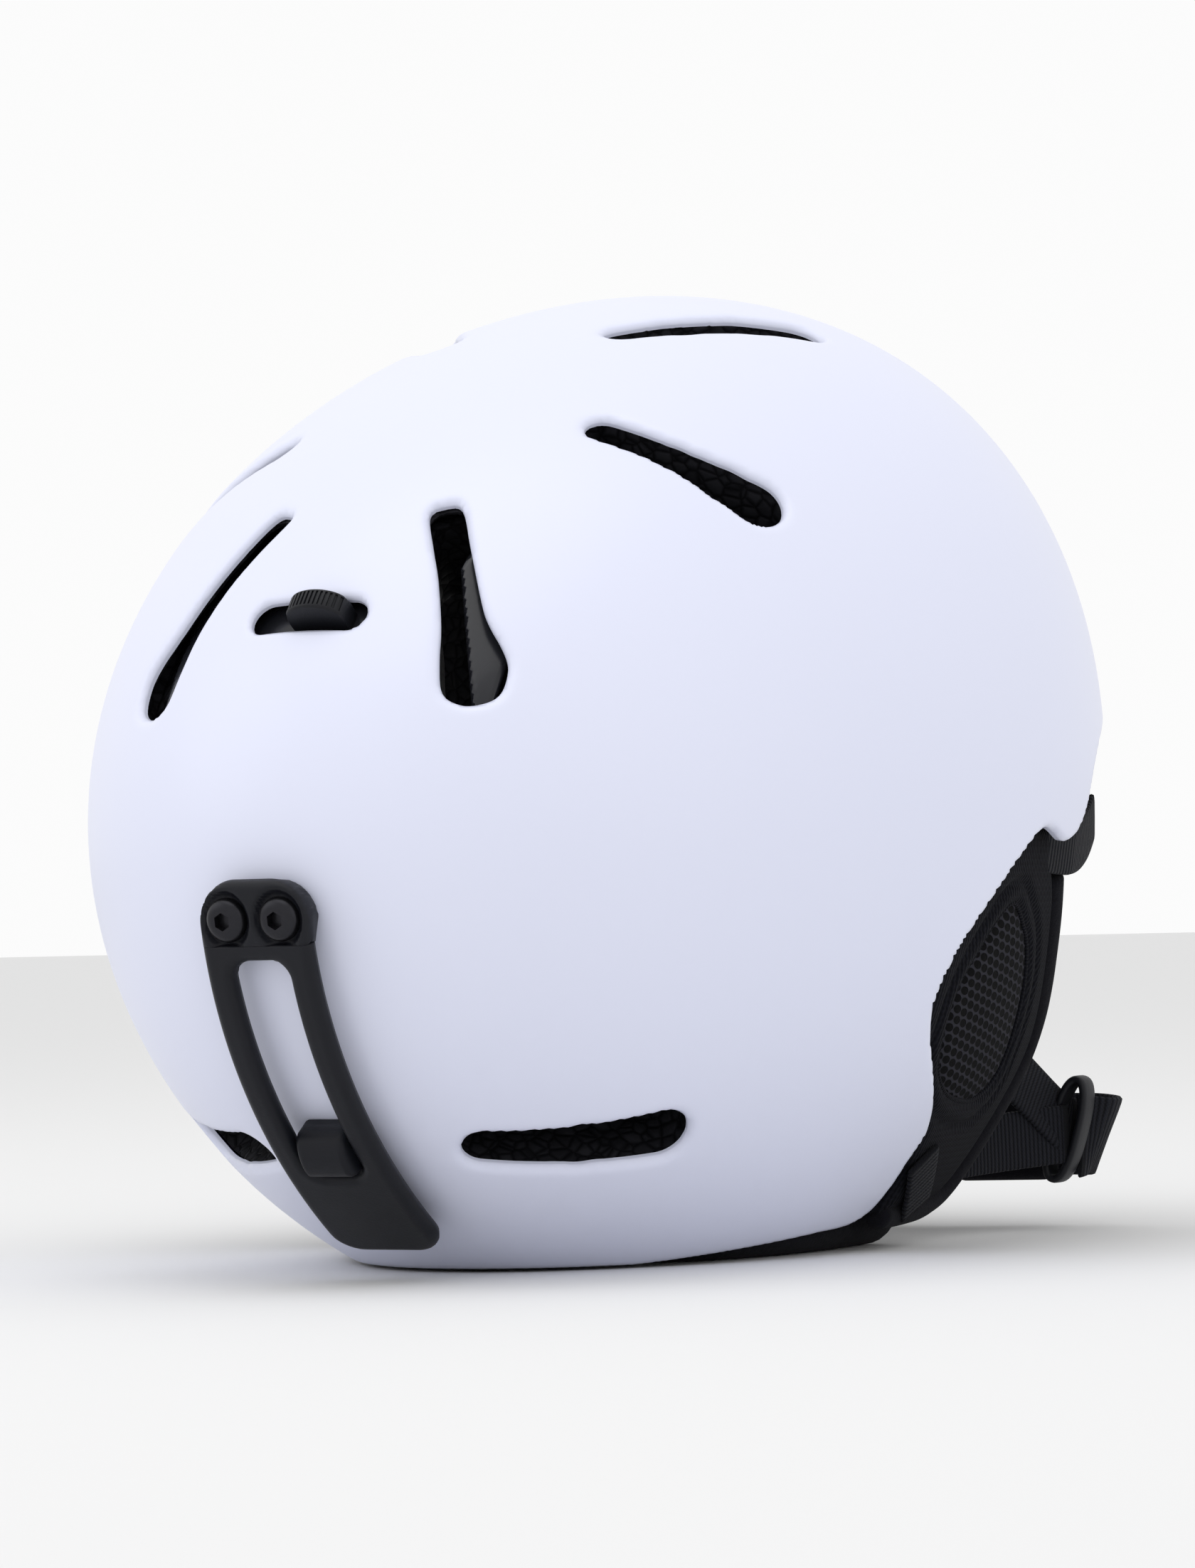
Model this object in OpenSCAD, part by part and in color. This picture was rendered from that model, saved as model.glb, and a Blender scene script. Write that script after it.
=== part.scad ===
/* [Shell] */
// Half of the shell's greatest width
shell_half_w = 110; // [104:1:116]
// Half-length of the head form, front to back
shell_half_l = 139.4; // [132:0.2:146]
// Half-height of the head form
shell_half_h = 119.3; // [113:0.1:125]
// How much longer the back is than the front
back_bulge = 22.4; // [18:0.2:26]
// How much flatter the crown is than the underside
crown_drop = 18.7; // [15:0.1:22]
// Thickness of the hard shell
shell_t = 2.2; // [1.8:0.1:2.6]
// Thickness of the foam liner at the sides
foam_side = 25; // [22:1:27]
// Thickness of the foam liner at the front and back
foam_ends = 34; // [30:1:36]
// Nose-up tilt of the head form in the worn position
form_tilt = 18; // [16:0.5:20]

/* [Vents] */
// Half-width of the narrow end of a crown vent
vent_narrow = 3.9; // [3:0.1:4.5]
// Half-width of the wide end of a crown vent
vent_wide = 7.2; // [6:0.1:8]
// Half-length of the slider slot
slot_half_l = 14.5; // [13:0.5:15]
// Half-width of the slider slot
slot_half_w = 3.9; // [3.4:0.1:4.2]

/* [Goggle clip] */
// Width of the goggle clip
clip_w = 27; // [24:1:29]
// Width of the slot in the goggle loop
clip_slot_w = 13.6; // [12:0.2:15]
// Thickness of the goggle loop
clip_t = 4; // [3:0.2:4.6]
// Gap under the goggle loop for the goggle strap
strap_gap = 3; // [2.5:0.1:3.4]
// Spacing of the two clip screws
screw_pitch = 13; // [12:0.5:14]

/* [Straps] */
// Width of the chin webbing
web_w = 20; // [18:1:22]
// Thickness of the webbing
web_t = 1.6; // [1.2:0.1:1.8]
// Height of the strap divider ring
ring_h = 30; // [28:1:32]

/* [Ear pads] */
// Thickness of the outer ear pad
pad_t = 7; // [6:0.5:7.5]
// Free gap between an ear pad and the shell's edge
pad_gap = 2; // [1.5:0.1:2.5]

/* [Hidden] */

fit_gap = 0.3;
form_pos = [0, -19, 120];
side_taper = 0.019;
top_taper = -0.065;
foam_top = 28;
pad_thickness = 5;
edge_recess = 3;

// Point of the head form in unit direction u, drawn in by g millimetres on each axis.
function form_point(u, g) = [
    (shell_half_w - g.x) * u.x * (1 + side_taper * u.y + top_taper * u.z),
    (shell_half_l - g.y) * u.y + back_bulge * u.y * u.y,
    (shell_half_h - g.z) * u.z - crown_drop * u.z * u.z
];
function to_worn(q) = form_pos + [
    q.x,
    q.y * cos(form_tilt) + q.z * sin(form_tilt),
    -q.y * sin(form_tilt) + q.z * cos(form_tilt)
];
function direction(lon, lat) = [cos(lat) * sin(lon), cos(lat) * cos(lon), sin(lat)];
function on_shell(lon, lat, g = 0) = to_worn(form_point(direction(lon, lat), [g, g, g]));
function unit(v) = v / norm(v);
function shell_normal(lon, lat) = unit(cross(
    on_shell(lon, lat + 0.1) - on_shell(lon, lat),
    on_shell(lon + 0.1, lat) - on_shell(lon, lat)
));

// Closed egg, drawn in by g, as rings of points between two poles.
module head_form(g, rings = 26, sides = 52) {
    gg = is_list(g) ? g : [g, g, g];
    pts = concat(
        [to_worn(form_point([0, 0, -1], gg))],
        [for (i = [1:rings - 1]) for (j = [0:sides - 1])
            to_worn(form_point(direction(360 * j / sides, -90 + 180 * i / rings), gg))],
        [to_worn(form_point([0, 0, 1], gg))]
    );
    last = len(pts) - 1;
    top = 1 + (rings - 2) * sides;
    faces = concat(
        [for (j = [0:sides - 1]) [0, 1 + (j + 1) % sides, 1 + j]],
        [for (i = [0:rings - 3]) for (j = [0:sides - 1])
            let (a = 1 + i * sides + j, b = 1 + i * sides + (j + 1) % sides)
            for (f = [[a, b, b + sides], [a, b + sides, a + sides]]) f],
        [for (j = [0:sides - 1]) [last, top + j, top + (j + 1) % sides]]
    );
    polyhedron(pts, faces);
}

// Catmull-Rom curve through points p, n steps a span.
function spline(p, n = 3) = concat([for (i = [0:len(p) - 2]) for (k = [0:n - 1])
    let (t = k / n, a = p[max(i - 1, 0)], b = p[i], c = p[i + 1], d = p[min(i + 2, len(p) - 1)])
    0.5 * ((2 * b) + (c - a) * t + (2 * a - 5 * b + 4 * c - d) * t * t
        + (3 * b - a - 3 * c + d) * t * t * t)], [p[len(p) - 1]]);

// The helmet's lower edge from the side, as [y, z]: flat at the back, hooked round the ear, raised at the brow.
rear_edge = [[45, 0], [34, 1.2], [18, 3], [2, 4.8], [-7, 5.7], [-11.5, 8.5], [-11.5, 14], [-9.4, 21]];
ear_edge = [[-9.4, 21], [-9.3, 27], [-5, 33], [3, 41], [10, 48], [14.4, 55], [14.2, 62], [10.5, 70], [4, 78],
    [-6, 87.4], [-14.5, 93.5], [-20, 95.6], [-26, 94.4], [-32, 92.4], [-37.5, 93.2], [-43.5, 96.5], [-48, 101.5]];
brow_edge = [[-48, 101.5], [-54, 110], [-64, 117], [-80, 122], [-105, 125], [-150, 126]];
lower_edge = concat(spline(rear_edge), spline(ear_edge), spline(brow_edge));

module side_outline() {
    polygon(concat([[190, 0]], lower_edge, [[-190, 126], [-190, 250], [190, 250]]));
}

// Sweeps a [y, z] outline across the whole width.
module across(x0 = -130, x1 = 130) {
    translate([x0, 0, 0]) rotate([90, 0, 90]) linear_extrude(x1 - x0) children();
}

// Stands children on the shell at lon, lat: +Z outwards, +X turned by twist from straight down.
module on_surface(lon, lat, twist = 0, g = 0) {
    n = shell_normal(lon, lat);
    translate(on_shell(lon, lat, g)) rotate([0, acos(n.z), atan2(n.y, n.x)]) rotate([0, 0, twist])
        children();
}

// A vent's prism: spots are [s, side, radius] along its axis; deep below the shell, proud above it.
module vent_prism(spots, grow = 0, deep = 60, proud = 15) {
    for (i = [0:len(spots) - 2]) hull() for (p = [spots[i], spots[i + 1]])
        translate([p[0], p[1], -deep]) cylinder(r = p[2] + grow, h = deep + proud, $fn = 16);
}

rear_vent_spots = [[-25, 0.3, vent_narrow], [-9, 0, vent_narrow + 0.2], [4, 0, vent_narrow + 1.4],
    [16.6, -0.2, vent_wide]];
side_vent_spots = [[-20.5, -0.6, vent_narrow], [-4, -0.3, vent_narrow], [9, -0.2, vent_narrow + 1.4],
    [17, 0.2, vent_wide - 1]];
top_vent_spots = [[-25, 0, vent_narrow - 0.4], [-12, 0, vent_narrow + 0.4], [6, 0.6, vent_narrow + 0.8],
    [21, 0, vent_narrow + 0.6]];
nape_vent_spots = [[-20.5, 0, 4.6], [0, 0, 5.4], [17.6, 0.2, 6]];
brow_vent_spots = [[-15, 0, 3.4], [0, 0, 4], [15, 0, 3.4]];

// All the openings on one side; side is -1 on the right and 1 on the left.
module side_vents(side, grow = 0, deep = 60) {
    mirror([side > 0 ? 1 : 0, 0, 0]) {
        on_surface(-22.8, 36.2, 8) vent_prism(rear_vent_spots, grow, deep);
        on_surface(-57.3, 47.3, 48) vent_prism(side_vent_spots, grow, deep);
        on_surface(-103, 67.3, 93) vent_prism(top_vent_spots, grow, deep);
        on_surface(-26, -25.6, 94) vent_prism(nape_vent_spots, grow, deep);
        on_surface(-152, 20, 80) vent_prism(brow_vent_spots, grow, deep);
    }
}

slot_lat = 37.8;
module slider_slot(grow = 0, deep = 8) {
    on_surface(0, slot_lat, 90) vent_prism([[-slot_half_l + slot_half_w, 0, slot_half_w],
        [slot_half_l - slot_half_w, 0, slot_half_w]], grow, deep);
}

screw_lat = 5;
screw_z_in = 12;
module at_screws() {
    for (sx = [-1, 1]) on_surface(0, screw_lat) translate([0, sx * screw_pitch / 2, 0]) children();
}

module outer_shell() {
    color("whitesmoke") intersection() {
        difference() {
            head_form(0);
            head_form(shell_t);
            side_vents(-1);
            side_vents(1);
            slider_slot();
            at_screws() translate([0, 0, -screw_z_in]) cylinder(r = 2.8, h = 30, $fn = 20);
        }
        across() side_outline();
    }
}

cavity = [shell_t + foam_side, shell_t + foam_ends, shell_t + foam_top];

module eps_liner() {
    difference() {
        intersection() {
            difference() {
                head_form(shell_t + fit_gap);
                head_form(cavity, 22, 44);
                side_vents(-1, 1);
                side_vents(1, 1);
            }
            across() offset(delta = -edge_recess) side_outline();
        }
        slider_slot(3, 10);
        shutter_sweep(shutter_depth - 1.8, shutter_depth + 2.2, 34, 1);
        at_screws() translate([0, 0, -14]) cylinder(r = 5.6, h = 16, $fn = 20);
        neck_tube(0.6);
        neck_opening();
        for (m = [0, 1]) mirror([m, 0, 0]) {
            translate([pivot.x - 7.6, pivot.y - 10, pivot.z - 20]) cube([20, 20, 35]);
            translate(rear_pivot - [0.6, 3, 13]) cube([14, 17, 23]);
        }
    }
}

// One of the four glued sections of the foam liner, by side and end.
section_y = -18;
module liner_section(side, end) {
    color("dimgray") intersection() {
        eps_liner();
        translate([side < 0 ? -150 : 0, end < 0 ? section_y - 200 : section_y, -10]) cube([150, 200, 260]);
    }
}

// Comfort padding lines the cavity between two drawn-in head forms.
lining_gap = 0.7;
module comfort_layer() {
    difference() {
        head_form(cavity + lining_gap * [1, 1, 1], 18, 36);
        head_form(cavity + (lining_gap + pad_thickness) * [1, 1, 1], 18, 36);
    }
}

module brow_pad() {
    color("#26282c") intersection() {
        comfort_layer();
        translate([-62, -150, 128]) cube([124, 80, 26]);
    }
}

module crown_pad() {
    color("#26282c") intersection() {
        comfort_layer();
        union() {
            translate([-15, -60, 160]) cube([30, 124, 60]);
            translate([-58, -14, 160]) cube([116, 26, 60]);
        }
    }
}

module side_pad() {
    color("#26282c") intersection() {
        comfort_layer();
        translate([-110, -52, 114.5]) cube([60, 104, 27.5]);
    }
}

// The fleece roll round the nape; its two front ends hang below the ear openings.
roll_r = 7.5;
roll_path = [[-50, -46], [-51.5, -30], [-51, -12], [-47.5, 6], [-41, 21], [-29, 34], [-14, 41], [0, 43]];
module neck_tube(grow = 0) {
    half = [for (p = spline(roll_path, 2)) [p.x, p.y, roll_r + 0.1]];
    for (m = [0, 1]) mirror([m, 0, 0]) for (i = [0:len(half) - 2])
        hull() for (k = [i, i + 1]) translate(half[k]) sphere(r = roll_r + grow, $fn = 12);
}
// The way in for the neck, inside the roll.
module neck_opening() {
    side = concat([[roll_path[0].x, -80]], spline(roll_path, 2));
    translate([0, 0, -1]) linear_extrude(60)
        polygon(concat(side, [for (i = [len(side) - 2:-1:0]) [-side[i].x, side[i].y]]));
}
module neck_roll() {
    color("#1d1e20") neck_tube();
}

// Goggle clip: a band that follows the shell's mid line between two heights above it.
function mid_line(lat0, lat1, g, n = 12) =
    [for (i = [0:n]) let (p = on_shell(0, lat0 + (lat1 - lat0) * i / n, -g)) [p.y, p.z]];
module band_profile(lat0, lat1, low, high, half_w) {
    across(-half_w, half_w) polygon(concat(mid_line(lat0, lat1, low), mid_line(lat1, lat0, high)));
}
clip_top_lat = 9.6;
hinge_lat = 2.4;
slot_top_lat = 0.6;
clip_bottom_lat = -33.5;
clip_top = strap_gap + clip_t;
clip_corner = 9;

module clip_tab() {
    top = on_shell(0, clip_top_lat).z;
    low = on_shell(0, hinge_lat + 0.3).z;
    color("#1b1c1f") difference() {
        intersection() {
            band_profile(clip_top_lat, hinge_lat + 0.35, 0.2, clip_top, clip_w / 2);
            rotate([90, 0, 0]) translate([0, 0, -170]) linear_extrude(60) hull() {
                for (sx = [-1, 1]) translate([sx * (clip_w / 2 - clip_corner), top - clip_corner])
                    circle(r = clip_corner, $fn = 32);
                translate([-clip_w / 2, low - 6]) square([clip_w, 4]);
            }
        }
        at_screws() translate([0, 0, -5]) cylinder(r = 2.6, h = 30, $fn = 24);
        at_screws() translate([0, 0, clip_top - 1.6]) cylinder(r = 5.2, h = 30, $fn = 24);
    }
}

head_r = 4.75;
head_h = 2.5;
module goggle_clip_screws() {
    color("#0f1011") at_screws() difference() {
        union() {
            translate([0, 0, clip_top - 1.5]) cylinder(r1 = head_r, r2 = head_r - 1.3, h = head_h, $fn = 32);
            translate([0, 0, -screw_z_in]) cylinder(r = 2.4, h = clip_top + screw_z_in - 1, $fn = 24);
        }
        translate([0, 0, clip_top - 0.6]) cylinder(r = 1.73, h = 5, $fn = 6);
    }
}

module clip_screw_nuts() {
    color("silver") at_screws() difference() {
        union() {
            translate([0, 0, -13.5]) cylinder(r = 5.2, h = 1.4, $fn = 32);
            translate([0, 0, -13]) cylinder(r = 3.6, h = 9, $fn = 24);
        }
        translate([0, 0, -15]) cylinder(r = 2.5, h = 14, $fn = 24);
    }
}

hook_lat = -20;
module goggle_hook() {
    color("#1b1c1f") on_surface(0, hook_lat) hull() {
        for (sx = [-1, 1]) for (sy = [-1, 1]) translate([sx * 4.5, sy * 3.2, -0.1])
            cylinder(r1 = 2.4, r2 = 1.6, h = clip_top + 1.4, $fn = 20);
    }
}

module goggle_loop() {
    low = on_shell(0, clip_bottom_lat).z;
    top = on_shell(0, hinge_lat).z;
    slot_top = on_shell(0, slot_top_lat).z;
    slot_low = on_shell(0, -27.5).z;
    color("#1b1c1f") intersection() {
        difference() {
            band_profile(hinge_lat, clip_bottom_lat, strap_gap, clip_top, clip_w / 2);
            rotate([90, 0, 0]) translate([0, 0, -170]) linear_extrude(120)
                hull() for (sx = [-1, 1]) {
                    translate([sx * (clip_slot_w / 2 - 4), slot_top - 6]) circle(r = 4, $fn = 24);
                    translate([sx * (clip_slot_w / 2 - 4), slot_low + 4]) circle(r = 4, $fn = 24);
                }
        }
        rotate([90, 0, 0]) translate([0, 0, -170]) linear_extrude(120) hull() {
            translate([-clip_w / 2, top + 2]) square([clip_w, 4]);
            for (sx = [-1, 1]) translate([sx * (clip_w / 2 - 7), low + 3.5]) circle(r = 7, $fn = 32);
        }
    }
}

// Vent shutter: a plate turned about an axis across the crown, so it slides sideways under the shell.
shutter_r = 90;
slot_n = shell_normal(0, slot_lat);
shutter_axis = on_shell(0, slot_lat) - shutter_r * slot_n;
shutter_lean = atan2(slot_n.z, slot_n.y);
shutter_depth = 4.7;
shutter_t = 1.2;
shutter_low = 22;
shutter_span = 32;
knob_rest = 2;

// [radius, height] of a point of the mid line, seen from the shutter's axis.
function seen_from_axis(lat, g) =
    let (d = on_shell(0, lat, g) - shutter_axis)
    [d.y * cos(shutter_lean) + d.z * sin(shutter_lean), -d.y * sin(shutter_lean) + d.z * cos(shutter_lean)];

// Puts children, drawn about Z with +X outwards, onto the shutter's axis.
module about_shutter_axis() {
    translate(shutter_axis) rotate([shutter_lean, 0, 0]) rotate([0, 0, 90]) children();
}
module shutter_sweep(g0, g1, half_angle, longer = 0) {
    lats = [for (i = [0:8]) shutter_low - longer + i * (shutter_span + 2 * longer) / 8];
    about_shutter_axis() rotate([0, 0, -half_angle]) rotate_extrude(angle = 2 * half_angle, $fn = 120)
        polygon(concat([for (a = lats) seen_from_axis(a, g1)],
            [for (i = [8:-1:0]) seen_from_axis(lats[i], g0)]));
}

window_offset = -2.6;
module vent_shutter() {
    color("#303236") difference() {
        shutter_sweep(shutter_depth, shutter_depth + shutter_t, 26.5);
        about_shutter_axis() rotate([0, 0, window_offset]) rotate([0, 0, -90]) rotate([-shutter_lean, 0, 0])
            translate(-shutter_axis) for (m = [0, 1]) mirror([m, 0, 0])
                on_surface(-22.8, 36.2, 8) vent_prism(rear_vent_spots, 0.4, 20);
    }
}

module vent_slider_knob() {
    half_l = 6.8;
    color("#1b1c1f") about_shutter_axis() rotate([0, 0, knob_rest]) rotate([0, 90, 0]) {
        difference() {
            translate([-2.6, -half_l, shutter_r - shutter_depth + 0.02]) cube([5.2, 2 * half_l, shutter_depth + 1.6]);
            for (i = [-4:4]) translate([-2.9, i * 1.4 - 0.3, shutter_r + 1]) cube([5.8, 0.6, 1.2]);
        }
    }
}

// Size adjuster at the nape.
dial_y = 64;
dial_z = 60;
dial_r = 13;
drum_r = 4;
band_h = 5;
band_t = 2.2;
band_in = dial_y - 6.6;
arm_r = 30;
housing_half_w = 14;
bend_x = 20.5;
module fit_dial_housing() {
    guide_z = drum_r + fit_gap;
    color("#26282c") difference() {
        union() {
            translate([-housing_half_w, dial_y - 9, dial_z - 11.5]) cube([2 * housing_half_w, 7, 23]);
            translate([-6, dial_y - 9, dial_z + 11]) cube([12, 7, 22]);
        }
        for (z = [guide_z - 0.3, -guide_z - band_h - 0.3])
            translate([-housing_half_w - 1, band_in - 0.5, dial_z + z])
                cube([2 * housing_half_w + 2, band_t + 1, band_h + 0.6]);
        translate([0, dial_y - 1, dial_z]) rotate([90, 0, 0]) cylinder(r = 2 + fit_gap, h = 10, $fn = 32);
        translate([0, band_in + band_t + 0.5, dial_z]) rotate([90, 0, 0])
            cylinder(r = drum_r + fit_gap, h = band_t + 1, $fn = 48);
    }
}

module fit_dial() {
    color("#1b1c1f") translate([0, dial_y - 1.6, dial_z]) rotate([-90, 0, 0]) {
        difference() {
            cylinder(r = dial_r, h = 5, $fn = 72);
            for (i = [0:17]) rotate([0, 0, 20 * i]) translate([dial_r + 0.6, 0, -1])
                cylinder(r = 1.3, h = 7, $fn = 16);
            translate([0, 0, 3]) cylinder(r = 7.3, h = 3, $fn = 48);
        }
        translate([0, 0, -7]) cylinder(r = 2, h = 7.5, $fn = 32);
        translate([0, 0, -4.9]) cylinder(r = drum_r, h = band_t, $fn = 48);
    }
}

module fit_dial_cap() {
    color("#3a3d42") translate([0, dial_y + 1.5, dial_z]) rotate([-90, 0, 0]) cylinder(r = 7.2, h = 2.3, $fn = 48);
}

// A band runs in its guide and then bends forward along the head; level is its lower edge.
module fit_band(level) {
    color("#34363b") {
        translate([-bend_x, band_in, level]) cube([bend_x - 4, band_t, band_h]);
        translate([-bend_x, band_in + band_t - arm_r, level]) rotate([0, 0, 90]) rotate_extrude(angle = 90, $fn = 120)
            translate([arm_r - band_t, 0]) square([band_t, band_h]);
        translate([-bend_x - arm_r, band_in + band_t - arm_r - 28, level]) cube([band_t, 28.1, band_h]);
    }
}

// Strap anchors in the liner, with the chin strap's pivot pins.
pivot = [-74, -22, 99];
pin_r = 2.4;
module strap_anchor() {
    color("#1b1c1f") {
        hull() for (dz = [-4, 6]) translate([pivot.x - 7, pivot.y, pivot.z + dz]) rotate([0, 90, 0])
            cylinder(r = 8, h = 2.4, $fn = 32);
        translate([pivot.x - 5, pivot.y, pivot.z]) rotate([0, 90, 0]) cylinder(r = pin_r, h = 7.2, $fn = 32);
        translate([pivot.x + 2, pivot.y, pivot.z]) rotate([0, 90, 0]) cylinder(r = 4.6, h = 1.4, $fn = 32);
    }
}
rear_pivot = [-62, -7, 26];
module rear_anchor() {
    color("#1b1c1f") translate(rear_pivot - [0, 0, 9]) cube([2.4, 13, 18]);
}

// One flat strip between two points, standing on edge with its width near vertical.
module web_strip(a, b, w, t = web_t, tilt = 0) {
    d = b - a;
    translate(a) rotate([0, 0, atan2(d.y, d.x)]) rotate([0, -atan2(d.z, norm([d.x, d.y])), 0])
        rotate([tilt, 0, 0]) translate([0, -t / 2, -w / 2]) cube([norm(d), t, w]);
}

ring_pos = [-76, -101, 24];
strap_eye_r = 8;
// Upright disc of webbing, the end or the turn of a leg.
module web_disc(p, r) {
    translate(p - [web_t / 2, 0, 0]) rotate([0, 90, 0]) cylinder(r = r, h = web_t, $fn = 32);
}
module front_strap() {
    eye_end = pivot + [0, -16, -15];
    turn = [-63.2, -70, 51];
    low = ring_pos + [2.4, 4.6, 2.5];
    color("#17181a") {
        difference() {
            hull() {
                web_disc(pivot, strap_eye_r);
                web_disc(eye_end, strap_eye_r);
            }
            translate(pivot - [5, 0, 0]) rotate([0, 90, 0]) cylinder(r = pin_r + fit_gap, h = 12, $fn = 32);
        }
        hull() {
            web_disc(eye_end, strap_eye_r);
            web_disc(turn, strap_eye_r);
        }
        hull() {
            web_disc(turn, strap_eye_r);
            web_disc(low, 7);
        }
        hull() {
            web_disc(low, 7);
            web_disc(ring_pos + [1, -1.6, 0], 7);
        }
    }
}

module rear_strap() {
    knee = [-59.6, -56, 20];
    color("#17181a") {
        web_strip([-60.6, -8, 22], knee, 14);
        web_strip(knee, ring_pos + [-1.1, 2.5, -1], 14);
    }
}

module strap_ring() {
    color("#202226") translate(ring_pos) rotate([90, 0, 0]) rotate([0, 0, -8]) translate([0, 0, -2])
        linear_extrude(4) difference() {
            hull() for (s = [-1, 1]) translate([0, s * (ring_h / 2 - 4.2)]) circle(r = 4.2, $fn = 36);
            hull() for (s = [-1, 1]) translate([0, s * (ring_h / 2 - 4.6)]) circle(r = 2.3, $fn = 24);
        }
}

// Chin webbing, from a divider ring round its fold and across to the buckle.
chin_z = 22;
chin_path = [[-77.6, -104.4], [-80, -109.5], [-79.6, -115], [-75, -119], [-67, -119.4], [-52, -115.4], [-38, -111.6]];
buckle_x = 30;
buckle_y = -110.5;
module chin_web(end_x) {
    p = concat(spline(chin_path, 3), [[-31, buckle_y], [end_x, buckle_y]]);
    color("#17181a") for (i = [0:len(p) - 2]) hull() for (q = [p[i], p[i + 1]])
        translate([q.x, q.y, chin_z - web_w / 2]) cylinder(r = web_t / 2, h = web_w, $fn = 8);
}

// Half of the magnetic buckle's outside, between two ends.
module buckle_block(x0, x1) {
    r = 3;
    hull() for (z = [chin_z - 12 + r, chin_z + 12 - r]) for (x = [x0 + r, x1 - r])
        translate([x, buckle_y + 4.5, z]) rotate([90, 0, 0]) cylinder(r = r, h = 9, $fn = 24);
}
tongue_half_h = 8.2;
magnet_x = -4;
module web_slot(x0) {
    translate([x0, buckle_y - 1.4, chin_z - web_w / 2 - 0.6]) cube([9, 2.8, web_w + 1.2]);
}
// The tray is open to the front, where the tongue lifts out.
module buckle_socket() {
    color("#1b1c1f") difference() {
        buckle_block(-buckle_x, 6);
        translate([-14, buckle_y - 10, chin_z - tongue_half_h - 0.4]) cube([24, 10.6, 2 * tongue_half_h + 0.8]);
        translate([magnet_x, buckle_y + 3.2, chin_z]) rotate([90, 0, 0]) cylinder(r = 5.1, h = 5, $fn = 40);
        web_slot(-buckle_x - 1);
    }
}
module buckle_plug() {
    color("#1b1c1f") difference() {
        union() {
            buckle_block(6.6, 23);
            translate([-13.4, buckle_y - 4.5, chin_z - tongue_half_h]) cube([22, 4.7, 2 * tongue_half_h]);
        }
        translate([magnet_x, buckle_y + 0.3, chin_z]) rotate([90, 0, 0]) cylinder(r = 5.1, h = 2.7, $fn = 40);
    }
}
module socket_magnet() {
    color("silver") translate([magnet_x, buckle_y + 3.15, chin_z]) rotate([90, 0, 0])
        cylinder(r = 5, h = 2.3, $fn = 40);
}
module plug_magnet() {
    color("silver") translate([magnet_x, buckle_y, chin_z]) rotate([90, 0, 0]) cylinder(r = 5, h = 2.3, $fn = 40);
}

module chin_pad() {
    color("#232528") translate([-66, -118, chin_z - 11]) rotate([0, 0, 15.4]) cube([27, 3, 22]);
}

// Ear pads hang from the shell's edge on a surface that falls in towards the jaw.
function pad_x(y, z) = 63 + 0.72 * z - 0.0031 * z * z - (y < -10 ? 0.0022 * (y + 10) * (y + 10) : 0);

// Slab of the hanging surface between depths g0 and g1 inside it.
module pad_slab(g0, g1, ny = 11, nz = 10) {
    y0 = -100;
    y1 = 24;
    z0 = 2;
    z1 = 102;
    function spot(i, j, g) = let (y = y0 + (y1 - y0) * i / ny, z = z0 + (z1 - z0) * j / nz)
        [-pad_x(y, z) + g, y, z];
    row = nz + 1;
    half = row * (ny + 1);
    pts = concat([for (i = [0:ny]) for (j = [0:nz]) spot(i, j, g0)],
        [for (i = [0:ny]) for (j = [0:nz]) spot(i, j, g1)]);
    faces = concat(
        [for (i = [0:ny - 1]) for (j = [0:nz - 1]) for (f = [[0, 1, row + 1], [0, row + 1, row]])
            [for (k = f) i * row + j + k]],
        [for (i = [0:ny - 1]) for (j = [0:nz - 1]) for (f = [[0, row + 1, 1], [0, row, row + 1]])
            [for (k = f) half + i * row + j + k]],
        [for (i = [0:ny - 1]) [i * row, (i + 1) * row, half + (i + 1) * row, half + i * row]],
        [for (i = [0:ny - 1]) [i * row + nz, half + i * row + nz, half + (i + 1) * row + nz, (i + 1) * row + nz]],
        [for (j = [0:nz - 1]) [j, half + j, half + j + 1, j + 1]],
        [for (j = [0:nz - 1]) let (b = ny * row) [b + j, b + j + 1, half + b + j + 1, half + b + j]]
    );
    polyhedron(pts, [for (f = faces) [for (k = [len(f) - 1:-1:0]) f[k]]]);
}

pad_front = [[-44, 90], [-50.5, 82], [-54, 75], [-59, 66], [-64, 58], [-68, 51], [-69.5, 44], [-67.5, 37],
    [-62, 28], [-56, 19], [-50, 12]];
lining_front = [[-56, 90], [-66, 86], [-74, 78], [-78, 69], [-79, 60], [-76.5, 50], [-71, 42], [-64, 36],
    [-56, 33]];

// Space left free by the shell and its liner, in from their edge by gap.
module under_edge(gap) {
    difference() {
        translate([-100, 2]) square([124, 100]);
        offset(delta = gap, $fn = 24) side_outline();
    }
}
module pad_outline() {
    intersection() {
        under_edge(pad_gap);
        polygon(concat([[40, 100], [-44, 100]], spline(pad_front), [[-44, 8.4], [-30, 7.4], [-14, 7], [40, 7]]));
        translate([-100, 7]) square([116, 90]);
    }
}
module lining_outline() {
    intersection() {
        under_edge(pad_gap + edge_recess);
        polygon(concat([[40, 100], [-50, 100]], spline(lining_front), [[-40, 32], [40, 32]]));
    }
}
// The leaf-shaped window over the ear.
mesh_spots = [[-27, 73, 5.5], [-22, 66, 11], [-24, 58, 17], [-27, 50.5, 16], [-31, 46, 12.5]];
module mesh_outline(grow = 0) {
    for (i = [0:len(mesh_spots) - 2]) hull() for (p = [mesh_spots[i], mesh_spots[i + 1]])
        translate([p[0], p[1]]) circle(r = p[2] + grow, $fn = 32);
}

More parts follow.
